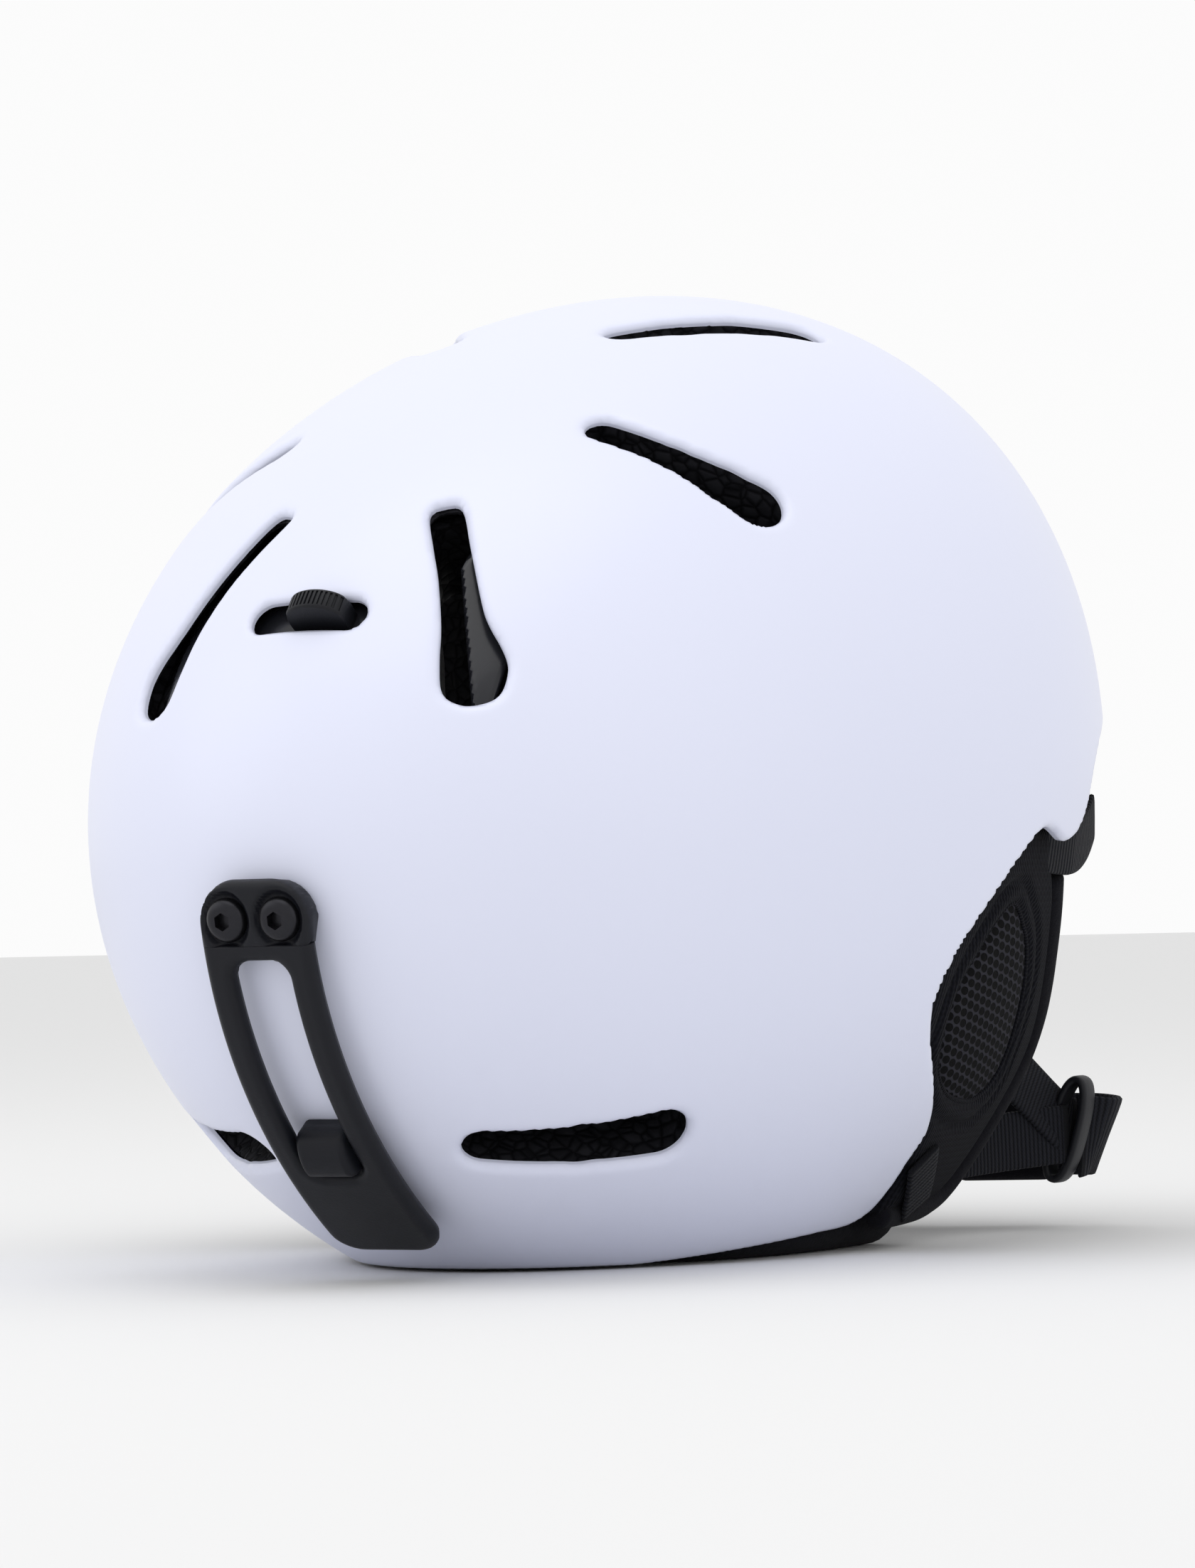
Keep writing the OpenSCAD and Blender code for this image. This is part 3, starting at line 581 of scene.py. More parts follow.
def build_shell():
    """One sheet over the head form, cut at the rim and the openings, with lips and turned-in walls."""
    bm = bmesh.new()
    bmesh.ops.create_cube(bm, size=2)
    bmesh.ops.subdivide_edges(bm, edges=bm.edges, cuts=45, use_grid_fill=True)
    for v in bm.verts:
        v.co = Vector([math.tan(c * math.pi / 4) for c in v.co]).normalized()

    openings = [(o, side) for o in VENTS for side in (1, -1)] + [(SLOT, 1)]

    def vents(u):
        p = head_form(u / np.linalg.norm(u, axis=1)[:, None])
        return np.min([opening_distance(p, o, side) for o, side in openings], 0)

    def rim(u):
        p = head_form(u / np.linalg.norm(u, axis=1)[:, None])
        return -to_polygon(p[:, 1:], shell_side)

    def refine(field, reach):
        """Halves the edges of every face nearer than reach to the line that field draws."""
        bm.verts.index_update()
        near = np.abs(field(coords(bm))) < reach
        chosen = {e for f in bm.faces if any(near[v.index] for v in f.verts) for e in f.edges}
        bmesh.ops.subdivide_edges(bm, edges=list(chosen), cuts=1, use_grid_fill=True)
        for v in bm.verts:
            v.co.normalize()

    carve(bm, lambda u: rim(u) + 6)
    refine(vents, 13)
    refine(vents, 7.5)
    refine(rim, 3)
    refine(rim, 1.7)
    carve(bm, rim)
    carve(bm, vents)
    u = coords(bm)
    u /= np.linalg.norm(u, axis=1)[:, None]
    p, n = head_form(u), form_normal(u)
    sink = np.zeros(len(u))
    hole = np.full(len(u), FAR)
    for o, side in openings:
        lip = o[4]
        d = np.maximum(opening_distance(p, o, side), 0)
        hole = np.minimum(hole, d)
        k = np.clip(1 - d / lip, 0, 1)
        sink += lip * 0.5 * (1 - np.sqrt(np.maximum(1 - k ** 2.2, 0)))
    edge = np.maximum(rim(u), 0)
    k = np.clip(1 - edge / RIM_ROLL, 0, 1)
    sink += RIM_SINK * (1 - np.sqrt(np.maximum(1 - k ** 2, 0)))
    place_verts(bm, p - n * sink[:, None])
    bm.verts.index_update()
    out = {v: Vector(n[v.index]) for v in bm.verts}
    is_hole = {v: hole[v.index] < 0.5 for v in bm.verts}
    borders = [e for e in bm.edges if e.is_boundary]
    for holes, steps in ((True, VENT_WALL), (False, RIM_WALL)):
        ring = [e for e in borders if all(is_hole[v] for v in e.verts) == holes]
        for step in steps:
            made = bmesh.ops.extrude_edge_only(bm, edges=ring)["geom"]
            verts = [g for g in made if isinstance(g, bmesh.types.BMVert)]
            for v in verts:
                mates = [e.other_vert(v) for e in v.link_edges if e.other_vert(v) in out]
                out[v] = sum((out[m] for m in mates), Vector()).normalized()
                v.co -= out[v] * step
            ring = [g for g in made if isinstance(g, bmesh.types.BMEdge)
                    and g.is_boundary and all(v in verts for v in g.verts)]
    give(finish_mesh(bm, "shell"), SHELL, "shell_white", "helmet", "outer_shell")


build_shell()


# ---------------------------------------------------------------- sheets, tubes and ribbons
def sheet(name, area, step, field, place, top, bottom, mirror=False, square=None):
    """A closed slab: area is cut to field > 0, and top and bottom are its heights over place's surface.
    Its edge is rounded, or stands square where square, a field of its own, is near 0."""
    x0, x1, y0, y1 = area
    bm = bmesh.new()
    nx, ny = max(2, round((x1 - x0) / step)), max(2, round((y1 - y0) / step))
    bmesh.ops.create_grid(bm, x_segments=nx, y_segments=ny, size=0.5)
    bmesh.ops.scale(bm, vec=(x1 - x0, y1 - y0, 1), verts=bm.verts)
    bmesh.ops.translate(bm, vec=((x0 + x1) / 2, (y0 + y1) / 2, 0), verts=bm.verts)
    carve(bm, lambda q: field(q[:, :2]))
    uv = bm.loops.layers.uv.new("cloth")
    for f in bm.faces:
        for l in f.loops:
            l[uv].uv = (l.vert.co.x * MM, l.vert.co.y * MM)
    flat = list(bm.verts)
    copy = bmesh.ops.duplicate(bm, geom=bm.verts[:] + bm.edges[:] + bm.faces[:])
    twin = [g for g in copy["geom"] if isinstance(g, bmesh.types.BMVert)]
    bmesh.ops.reverse_faces(bm, faces=[g for g in copy["geom"] if isinstance(g, bmesh.types.BMFace)])
    q = np.array([v.co[:2] for v in flat + twin])
    d = np.maximum(field(q), 0)
    edge = np.array([any(e.is_boundary for e in v.link_edges) for v in flat + twin])
    n = len(flat)
    if square is not None:
        upright = edge & (np.abs(square(q)) < 0.02)
        edge = edge & ~upright
    hi, lo = top(q[:n], d[:n]), bottom(q[n:], d[n:])
    h = np.concatenate([hi, lo])
    middle = (top(q, np.zeros(len(q))) + bottom(q, np.zeros(len(q)))) / 2
    h = np.where(edge, middle, h)
    p, normal = place(q)
    where = p + normal * h[:, None]
    for v, c in zip(flat + twin, where):
        v.co = c
    # Both faces meet at half height round the edge, so their vertices there are one.
    rim_verts = [v for v, e in zip(flat + twin, edge) if e]
    bmesh.ops.remove_doubles(bm, verts=rim_verts, dist=0.004)
    if square is not None:
        bmesh.ops.holes_fill(bm, edges=[e for e in bm.edges if e.is_boundary], sides=0)
    return finish_mesh(bm, name, mirror=mirror)


def rounded(d, r):
    """0 at an edge to 1 at r in from it, as a quarter circle."""
    return np.sqrt(np.maximum(1 - (1 - np.clip(d / r, 0, 1)) ** 2, 0))


def domed(edge, rise, reach):
    """Height field that starts at edge and rises, over reach, as a quarter circle."""
    return lambda q, d: edge + rise * rounded(d, reach)


def run_along(path):
    """Length of a path up to each of its points."""
    return np.concatenate([[0], np.cumsum(np.linalg.norm(np.diff(path, axis=0), axis=1))])


def frames_along(path, closed=False):
    """Unit directions along a path."""
    p = np.asarray(path, float)
    if closed:
        t = np.roll(p, -1, 0) - np.roll(p, 1, 0)
    else:
        t = np.gradient(p, axis=0)
    return t / np.linalg.norm(t, axis=1)[:, None]


def sweep(name, path, widths, heights, up, closed=False, sides=12, power=2.0, mirror=False):
    """A superellipse section carried along a path, with domed ends where the path is open.
    up is the direction of the section's height, and widths, heights and up hold one or one a point."""
    path = np.asarray(path, float)
    t = frames_along(path, closed)
    up = np.broadcast_to(np.asarray(up, float), path.shape)
    widths = np.broadcast_to(np.asarray(widths, float), len(path))
    heights = np.broadcast_to(np.asarray(heights, float), len(path))
    bm = bmesh.new()
    uv = bm.loops.layers.uv.new("cloth")
    first = bmesh.ops.create_circle(bm, segments=sides, radius=1)["verts"]
    a = np.arange(sides) * 2 * math.pi / sides
    section = np.stack([np.sign(np.cos(a)) * np.abs(np.cos(a)) ** (2 / power),
                        np.sign(np.sin(a)) * np.abs(np.sin(a)) ** (2 / power)], 1)
    outline = section * [widths[0] / 2, heights[0] / 2]
    spans = np.linalg.norm(np.roll(outline, -1, 0) - outline, axis=1)
    round_about = np.concatenate([[0], np.cumsum(spans)])

    def ring_at(i):
        side = np.cross(up[i], t[i])
        side /= np.linalg.norm(side)
        top = np.cross(t[i], side)
        return path[i] + section[:, :1] * side * widths[i] / 2 + section[:, 1:] * top * heights[i] / 2

    def loop_of(ring):
        return [bm.edges.get((ring[k], ring[(k + 1) % sides])) for k in range(sides)]

    ring = first
    for v, c in zip(ring, ring_at(0)):
        v.co = c
    along = run_along(path)
    rings = [ring]
    for i in range(1, len(path)):
        made = bmesh.ops.extrude_edge_only(bm, edges=loop_of(ring))["geom"]
        new = {v for v in made if isinstance(v, bmesh.types.BMVert)}
        ring = [next(e.other_vert(v) for e in v.link_edges if e.other_vert(v) in new) for v in ring]
        for v, c in zip(ring, ring_at(i)):
            v.co = c
        rings.append(ring)
    if closed:
        bmesh.ops.bridge_loops(bm, edges=loop_of(first) + loop_of(ring))
    else:
        thin = min(widths[0], heights[0])
        for end in (first, ring):
            face = bmesh.ops.contextual_create(bm, geom=loop_of(end))["faces"]
            bmesh.ops.inset_region(bm, faces=face, thickness=thin * 0.18, depth=thin * 0.08)
    station = {v: (i, k) for i, r in enumerate(rings) for k, v in enumerate(r)}
    for f in bm.faces:
        known = [station[v] for v in f.verts if v in station]
        wrap = any(k == 0 for _, k in known) and any(k == sides - 1 for _, k in known)
        for l in f.loops:
            if l.vert in station:
                i, k = station[l.vert]
                if wrap and k == 0:
                    k = sides
                length = along[i]
                if closed and i == 0 and any(j == len(path) - 1 for j, _ in known):
                    length = along[-1] + np.linalg.norm(path[0] - path[-1])
                l[uv].uv = (length * MM, round_about[k] * MM)
    return finish_mesh(bm, name, mirror=mirror)


def ribbon(name, path, width, thick, out, mirror):
    """A flat strip of webbing or elastic along a path, one side facing out."""
    return sweep(name, path, width, thick, out, sides=16, power=5, mirror=mirror)


def resample(path, step):
    """The same path with points about step apart."""
    path = np.asarray(path, float)
    along = run_along(path)
    n = max(3, int(along[-1] / step) + 1)
    t = np.linspace(0, along[-1], n)
    return np.stack([np.interp(t, along, path[:, k]) for k in range(path.shape[1])], 1)


# ---------------------------------------------------------------- goggle clip
lats = np.linspace(14, -38, 261)
mid_run = -run_along(head_form(direction(np.zeros(len(lats)), lats)))
mid_run -= np.interp(0, -lats, mid_run)


def run_at(lat):
    """Distance up the back, along the shell, from latitude 0 to lat."""
    return float(np.interp(-lat, -lats, mid_run))


def on_mid_line(q):
    """q is (across, up the back along the shell) in mm."""
    lat = np.interp(-q[:, 1], -mid_run, lats)
    u = direction(np.zeros(len(q)), lat)
    n = form_normal(u)
    p = head_form(u)
    p[:, 0] += q[:, 0]
    return p, n


def box_distance(q, cx, cy, hx, hy, r):
    """Signed distance to a rounded box, positive inside."""
    d = np.abs(q - [cx, cy]) - [hx - r, hy - r]
    return r - np.hypot(np.maximum(d[:, 0], 0), np.maximum(d[:, 1], 0)) - np.minimum(np.max(d, 1), 0)


CLIP_HALF, CLIP_EDGE, CLIP_HIGH = 13.4, 4.9, 7.0  # half width, and heights of its edge and face
CLIP_ROUND = 2.2
OVERRUN = 12  # an outline runs on this far past the cut where tab and loop meet
SCREW_LAT, SCREW_SPREAD = 5.0, 6.5
tab_lo, tab_hi = run_at(2.5), run_at(8.9)
screw_run = run_at(SCREW_LAT)


def tab_outline(q):
    middle, half = (tab_lo + tab_hi) / 2, (tab_hi - tab_lo) / 2
    return box_distance(q, 0, middle - OVERRUN, CLIP_HALF, half + OVERRUN, 9)


def clip_face(outline):
    """Height of the clip's rounded outer face, with its outline's distance given."""
    return CLIP_EDGE + (CLIP_HIGH - CLIP_EDGE) * rounded(outline, CLIP_ROUND)


def tab_top(q, d):
    """The outer face with a round seat sunk at each screw."""
    off_screw = np.min([np.hypot(q[:, 0] - s * SCREW_SPREAD, q[:, 1] - screw_run) for s in (1, -1)], 0)
    return clip_face(tab_outline(q)) - 1.7 * np.clip((6.0 - off_screw) / 0.8, 0, 1)


def tab_depth(q):
    """The tab thins to the loop's own thickness where the two meet."""
    return 1.9 + 2.8 * np.clip((q[:, 1] - tab_lo) / 5, 0, 1)


clip_tab = sheet("goggle_clip_tab_body", (-14, 14, tab_lo - 1, tab_hi + 1), 0.55,
                 lambda q: np.minimum(tab_outline(q), q[:, 1] - tab_lo), on_mid_line, tab_top,
                 lambda q, d: CLIP_EDGE - tab_depth(q) * rounded(tab_outline(q), 0.7),
                 square=lambda q: q[:, 1] - tab_lo)
give(clip_tab, RUBBER, "clip_rubber", "helmet", "goggle_clip_tab")

loop_hi, loop_lo = run_at(2.48), run_at(-33.2)
hook_run = run_at(-20)
HOOK_REACH = 5.6
slot_hi, slot_lo = run_at(0.9), hook_run - HOOK_REACH - 0.7


def loop_outline(q):
    middle, half = (loop_hi + loop_lo) / 2, (loop_hi - loop_lo) / 2
    outer = box_distance(q, 0, middle + OVERRUN, CLIP_HALF, half + OVERRUN, 7)
    slot = box_distance(q, 0, (slot_hi + slot_lo) / 2, 6.9, (slot_hi - slot_lo) / 2, 4)
    return np.minimum(outer, -slot)


loop = sheet("goggle_loop_body", (-14, 14, loop_lo - 1, loop_hi + 1), 0.6,
             lambda q: np.minimum(loop_outline(q), loop_hi - q[:, 1]), on_mid_line,
             lambda q, d: clip_face(loop_outline(q)),
             lambda q, d: CLIP_EDGE - 1.9 * rounded(loop_outline(q), 1.2),
             square=lambda q: loop_hi - q[:, 1])
give(loop, RUBBER, "clip_rubber", "goggle_loop", "goggle_loop")
HOOK_EDGE, HOOK_SAG = 4.2, 1.8


def hook_top(q, d):
    """A barrel across the slot, fullest below its middle."""
    up = q[:, 1] - hook_run + HOOK_SAG
    up = up / np.where(up > 0, HOOK_REACH + HOOK_SAG, HOOK_REACH - HOOK_SAG)
    return HOOK_EDGE + 5.0 * np.sqrt(np.maximum(1 - up ** 2, 0)) * rounded(d, 1.4)


hook = sheet("goggle_hook_block", (-9, 9, hook_run - 9, hook_run + 9), 0.5,
             lambda q: box_distance(q, 0, hook_run, 6.3, HOOK_REACH, 1.6), on_mid_line, hook_top,
             domed(HOOK_EDGE, -4.0, 0.6))
give(hook, RUBBER, "clip_rubber", "helmet", "goggle_hook")


def button_screws():
    """Two button heads with hexagon sockets, turned from a profile and bored."""
    bm = bmesh.new()
    profile = [(4.75, 5.3), (4.75, 5.9), (4.55, 6.6), (4.1, 7.2), (3.4, 7.65), (2.6, 7.85), (1.9, 7.9)]
    socket_half, socket_deep = 1.7, 1.9
    origin, axes = stand(0, SCREW_LAT, 0)
    for sx in (-1, 1):
        part = bmesh.new()
        verts = [part.verts.new((r, 0, h)) for r, h in profile]
        edges = [part.edges.new(pair) for pair in zip(verts, verts[1:])]
        bmesh.ops.spin(part, geom=verts + edges, cent=(0, 0, 0), axis=(0, 0, 1), angle=2 * math.pi, steps=48,
                       use_merge=True)
        top = [e for e in part.edges if e.is_boundary and min(v.co.z for v in e.verts) > 7.8]
        face = bmesh.ops.contextual_create(part, geom=top)["faces"]
        bmesh.ops.inset_region(part, faces=face, thickness=0.12)
        for v in {v for f in face for v in f.verts}:
            a = math.atan2(v.co.y, v.co.x)
            r = socket_half / math.cos((a % (math.pi / 3)) - math.pi / 6)
            v.co = (r * math.cos(a), r * math.sin(a), v.co.z)
        down = bmesh.ops.extrude_discrete_faces(part, faces=face)["faces"]
        for v in {v for f in down for v in f.verts}:
            v.co.z -= socket_deep
        bmesh.ops.recalc_face_normals(part, faces=part.faces)
        for v in part.verts:
            v.co = Vector(origin + axes @ (np.array(v.co) + [0, sx * SCREW_SPREAD, 0]))
        mesh = bpy.data.meshes.new("screw_work")
        part.to_mesh(mesh)
        part.free()
        bm.from_mesh(mesh)
        bpy.data.meshes.remove(mesh)
    obj = finish_mesh(bm, "goggle_clip_button_heads", recalc=False)
    give(obj, BLACK_STEEL, "screw_black", "helmet", "goggle_clip_screws", auto=35)


button_screws()


# ---------------------------------------------------------------- vent shutter and slider
SHUTTER_R = 90.0
SHUTTER_GAP = 5.2  # from the head form in to the plate
DEGREE = 1.57  # about one degree round the axis at that radius, in mm
slot_at, _ = stand(*SLOT[:3])
slot_out = form_normal(direction(*SLOT[:2]))[0]
shutter_axis = slot_at - SHUTTER_R * slot_out
lean = math.atan2(slot_out[2], slot_out[1])
axis_dir = np.array([0, -math.sin(lean), math.cos(lean)])
out_dir = np.array([0, math.cos(lean), math.sin(lean)])


def around_axis(radius, height, angle):
    """Position of a radius and height turned about the shutter's axis; a positive angle goes to -x."""
    a = np.radians(angle)
    return (shutter_axis + np.outer(height, axis_dir) + np.outer(radius * np.cos(a), out_dir)
            + np.outer(-radius * np.sin(a), [1, 0, 0]))


shutter_lats = np.linspace(22, 54, 33)
shutter_u = direction(np.zeros(len(shutter_lats)), shutter_lats)
line = head_form(shutter_u) - form_normal(shutter_u) * SHUTTER_GAP
line_r, line_h = (line - shutter_axis) @ out_dir, (line - shutter_axis) @ axis_dir


def on_shutter(q):
    """q is (degrees round the axis x DEGREE, latitude x 2)."""
    r = np.interp(q[:, 1] / 2, shutter_lats, line_r)
    h = np.interp(q[:, 1] / 2, shutter_lats, line_h)
    p = around_axis(r, h, q[:, 0] / DEGREE)
    n = p - shutter_axis - np.outer((p - shutter_axis) @ axis_dir, axis_dir)
    n /= np.linalg.norm(n, axis=1)[:, None]
    return p, n


WINDOW = np.array([[-44, -12], [-44, 12], [-21, 12], [-18.5, 3.5], [-14, 1.0], [30, -1.4], [32, -4],
                   [32, -12]])


def shutter_field(q):
    """The plate, open where a window on each side lets air into the rear vent."""
    d = box_distance(q, 2, 76, 45.9, 31, 4)
    p, _ = on_shutter(q)
    window = (*REAR_VENT[:3], WINDOW, 0)
    for side in (1, -1):
        d = np.minimum(d, opening_distance(p, window, side))
    return d


HALF_PLATE = 0.45
shutter = sheet("vent_shutter_plate", (-50, 50, 44, 108), 1.0, shutter_field, on_shutter,
                domed(0.1, HALF_PLATE, 0.9), domed(0.1, -HALF_PLATE, 0.9))
give(shutter, SHUTTER, "shutter_grey", "vent_slider", "vent_shutter")


def slider_knob():
    """Half-moon finger grip with ribs, standing in the slot on the shutter."""
    bm = bmesh.new()
    n = 28
    half, foot, shoulder, rise, thick = 6.9, -4.6, 0.4, 4.2, 5.0
    rest = 2.0  # degrees
    arc = [half * (2 * i / n - 1) for i in range(n + 1)]
    low = [bm.verts.new((x, 0, foot)) for x in arc]
    high = [bm.verts.new((x, 0, shoulder + rise * math.sqrt(max(1 - (x / half) ** 2, 0)))) for x in arc]
    for i in range(n):
        bm.faces.new((low[i], low[i + 1], high[i + 1], high[i]))
    front = bmesh.ops.extrude_face_region(bm, geom=bm.faces[:])
    for v in [g for g in front["geom"] if isinstance(g, bmesh.types.BMVert)]:
        v.co.y += thick
    bmesh.ops.translate(bm, vec=(0, -thick / 2, 0), verts=bm.verts)
    bmesh.ops.recalc_face_normals(bm, faces=bm.faces)
    crest = [e for e in bm.edges if abs(e.verts[0].co.y - e.verts[1].co.y) < 1e-6
             and e.verts[0].co.z > 0 and e.verts[1].co.z > 0 and e.calc_face_angle(0) > 1.0]
    bmesh.ops.bevel(bm, geom=crest, offset=0.7, segments=3, profile=0.5, affect="EDGES", material=-1)
    ribs = [f for f in bm.faces if f.normal.z > 0.35 and f.calc_area() > 0.4]
    for k, f in enumerate(sorted(ribs, key=lambda f: f.calc_center_median().x)):
        if k % 2 == 0:
            bmesh.ops.inset_region(bm, faces=[f], thickness=0.12, depth=-0.35)
    for v in bm.verts:
        x, y, z = v.co
        v.co = Vector(around_axis(SHUTTER_R + z, y, rest - math.degrees(x / SHUTTER_R))[0])
    obj = finish_mesh(bm, "vent_slider_grip")
    give(obj, MOULDED, "moulded_black", "vent_slider", "vent_slider_knob", auto=40)


slider_knob()


# ---------------------------------------------------------------- ear pads
def pad_x(y, z):
    """How far the hanging pad's outer face is from the middle plane: it bows, and curls in forwards."""
    y = y + BACK_SHIFT
    return 63 + 0.72 * z - 0.0031 * z * z - np.where(y < -10, 0.0022 * (y + 10) ** 2, 0)


def on_pad(q):
    """q is (y, z) of the hanging pad's outer face; heights go outwards, to the right."""
    y, z = q[:, 0], q[:, 1]
    p = np.stack([-pad_x(y, z), y, z], 1)
    e = 0.5
    dy = (pad_x(y + e, z) - pad_x(y - e, z)) / (2 * e)
    dz = (pad_x(y, z + e) - pad_x(y, z - e)) / (2 * e)
    n = np.stack([-np.ones_like(y), -dy, -dz], 1)
    return p, n / np.linalg.norm(n, axis=1)[:, None]


def moved(points):
    """Outline points in y and z, brought from where they are drawn to the frame."""
    return np.asarray(points, float) - [BACK_SHIFT, 0]


pad_front = spline(moved([[-44, 90], [-50.5, 82], [-54, 75], [-59, 66], [-64, 58], [-68, 51], [-69.5, 44],
                          [-67.5, 37], [-62, 28], [-56, 19], [-50, 12]]), 4)
pad_shape = np.vstack([moved([[12, 100], [-40, 100]]), pad_front,
                       moved([[-44, 8.4], [-30, 7.4], [-14, 7.0], [12, 7]])])
window_shape = spline(moved([(-23, 78.6), (-31.6, 73.7), (-37.8, 68.8), (-43.9, 60.5), (-47.3, 52.3),
                             (-49.0, 44.9), (-48.0, 38.6), (-42.4, 34.4), (-33, 32.8), (-19.4, 34.5),
                             (-10.8, 38.1), (-5.0, 43.1), (-2.0, 49.5), (-1.5, 56), (-3.0, 61.5), (-7.7, 67.7),
                             (-14.7, 74.9)]), 4, closed=True)
PAD_EDGE, PAD_OUT, PAD_IN = -3.2, 3.0, 3.6  # height of the pad's edge, and its crown on each side
LINING_EDGE = -9.6
ELASTIC_THICK = 1.5


def under_shell(q, gap):
    """Distance below the shell's edge: near the fold line the pads run up behind it."""
    tuck = np.interp(q[:, 1], [80, 90], [0, 4.7])
    return to_polygon(q, shell_side) - gap + tuck


def pad_field(q):
    return np.minimum(-to_polygon(q, pad_shape), under_shell(q, 1.2))


def outer_pad_height(q, d):
    """Crowned pad face, pressed down along the seam round its window."""
    window = to_polygon(q, window_shape)
    seam = np.exp(-((window - 5.0) / 1.1) ** 2) * 1.1
    inner = np.clip(1 - np.maximum(window, 0) / 1.8, 0, 1) ** 2 * 1.3
    return PAD_EDGE + PAD_OUT * rounded(d, 6.0) - np.where(d > 0.5, (seam + inner) * rounded(d, 3), 0)


def build_ear_pad(side):
    """Cover, mesh window and its welt, front roll, lining and elastics of one ear pad."""
    flip = side == "left"
    body = f"ear_pad_{side}"
    pad = sheet(f"ear_pad_cover_{side}", (-80, 12, 5, 96), 1.0, pad_field, on_pad, outer_pad_height,
                domed(PAD_EDGE, -PAD_IN, 6.0), mirror=flip)
    give(pad, KNIT, "pad_knit", body, f"ear_pad_{side}")

    window = sheet(f"ear_mesh_window_{side}", (-58, 2, 30, 82), 0.9,
                   lambda q: 1.6 - to_polygon(q, window_shape), on_pad,
                   domed(-3.0, 2.1, 7), domed(-4.4, 0, 1), mirror=flip)
    give(window, MESH, "ear_mesh", body, f"ear_mesh_{side}")

    ring = resample(np.vstack([window_shape, window_shape[:1]]), 1.6)[:-1]
    p, n = on_pad(ring)
    welt = sweep(f"ear_window_welt_{side}", p + n * -1.5, 1.3, 1.3, n, closed=True, sides=10, mirror=flip)
    give(welt, KNIT, "pad_knit", body)

    tail = spline(moved([(-50, 84), (-53.5, 77), (-58.5, 67), (-64, 58.5), (-68, 51.5), (-69.6, 44),
                         (-67.6, 37), (-62, 28), (-56, 19), (-49.5, 11.5), (-40, 8.2), (-26, 7.2),
                         (-15, 7.0)]), 4)
    p, n = on_pad(resample(tail, 1.5))
    roll = sweep(f"ear_pad_piping_{side}", p + n * -2.0, 6.4, 6.0, n, sides=14, mirror=flip)
    give(roll, FLEECE, "pad_fleece", body)

    lining_front = spline(moved([[-53, 101], [-62, 97.5], [-71, 91], [-78, 80], [-81.5, 70], [-82, 60],
                                 [-79.5, 50], [-74, 42], [-67, 36], [-58, 31]]), 4)
    lining_shape = np.vstack([moved([[-30, 101], [-50, 101.5]]), lining_front,
                              moved([[-44, 22], [-34, 22]])])
    lining = sheet(f"ear_lining_{side}", (-88, -34, 20, 104), 1.1,
                   lambda q: np.minimum(-to_polygon(q, lining_shape), under_shell(q, 1.5)), on_pad,
                   domed(LINING_EDGE, 2.0, 5), domed(LINING_EDGE, -1.6, 5), mirror=flip)
    give(lining, SATIN, "lining_satin", body, f"ear_pad_lining_{side}")

    # Elastic loops: one in front at the top, one at the rear bottom.
    front = spline(moved([(-38, 92), (-46, 91.5), (-54, 91.5), (-62, 92.5), (-70, 95), (-76, 98.5)]), 6)
    p, n = on_pad(front)
    lift = np.interp(front[:, 0], [-58, -42], [0.9, -1.4])[:, None]
    strip = ribbon(f"front_elastic_loop_{side}", p + n * lift, 13, ELASTIC_THICK, n, flip)
    give(strip, ELASTIC, "elastic", body, f"front_elastic_{side}")
    rear = spline(moved([(-16, 21.5), (-20, 17.5), (-24, 13.2), (-27, 9.6)]), 6)
    p, n = on_pad(rear)
    strip = ribbon(f"rear_elastic_loop_{side}", p + n * 0.9, 11, ELASTIC_THICK, n, flip)
    give(strip, ELASTIC, "elastic", body, f"rear_elastic_{side}")


for side in ("right", "left"):
    build_ear_pad(side)


# ---------------------------------------------------------------- comfort padding and nape roll
CAVITY = (27.9, 36.9, 30.9)
CROWN_R = 86.0
NAPE_THICK, NAPE_Z, NAPE_STEP = 15.0, 7.6, 2.2


def on_cavity(q):
    """q is (degrees of longitude, degrees of latitude) on the liner's inner face; heights go inwards."""
    u = direction(q[:, 0], q[:, 1])
    return head_form(u, CAVITY), -form_normal(u, CAVITY)


def roll_path():
    """The nape roll's horseshoe, from its right end round the back to its left end."""
    half = spline([[-50, -46], [-51.5, -30], [-51, -12], [-47.5, 6], [-41, 21], [-29, 34], [-14, 41],
                   [0, 43]], 4)
    half = half - [0, BACK_SHIFT]
    other = half[::-1][1:] * [-1, 1]
    flat = resample(np.vstack([half, other]), NAPE_STEP)
    return np.column_stack([flat, np.full(len(flat), NAPE_Z)])


path = roll_path()
ends = np.minimum(np.arange(len(path)), np.arange(len(path))[::-1]) * NAPE_STEP
thick = NAPE_THICK * rounded(ends + 0.3, 7.0)
nape = sweep("nape_roll", path, thick, thick, (0, 0, 1), sides=24)
give(nape, FLEECE, "pad_fleece", "helmet", "neck_roll")


def comfort_pad(name, node, area, step, field, place=on_cavity):
    """A crowned cushion on the liner's inner face."""
    edge = 2.4
    obj = sheet(name, area, step, field, place, domed(edge, 2.5, 6), domed(edge, -2.3, 4))
    give(obj, FLEECE, "pad_fleece", "helmet", node)


def within(lo, hi):
    """Field of the part of the cavity between two corners of a box, in mm."""
    lo, hi = np.array(lo), np.array(hi)

    def field(q):
        p, _ = on_cavity(q)
        return np.minimum(p - lo, hi - p).min(1)
    return field


def on_crown(q):
    """q is in mm from the crown, rightwards and forwards over the cavity's top; heights go inwards."""
    far = np.maximum(np.linalg.norm(q, axis=1), 1e-6)
    a = far / CROWN_R
    u = np.column_stack([q * (np.sin(a) / far)[:, None], np.cos(a)])
    return head_form(u, CAVITY), -form_normal(u, CAVITY)


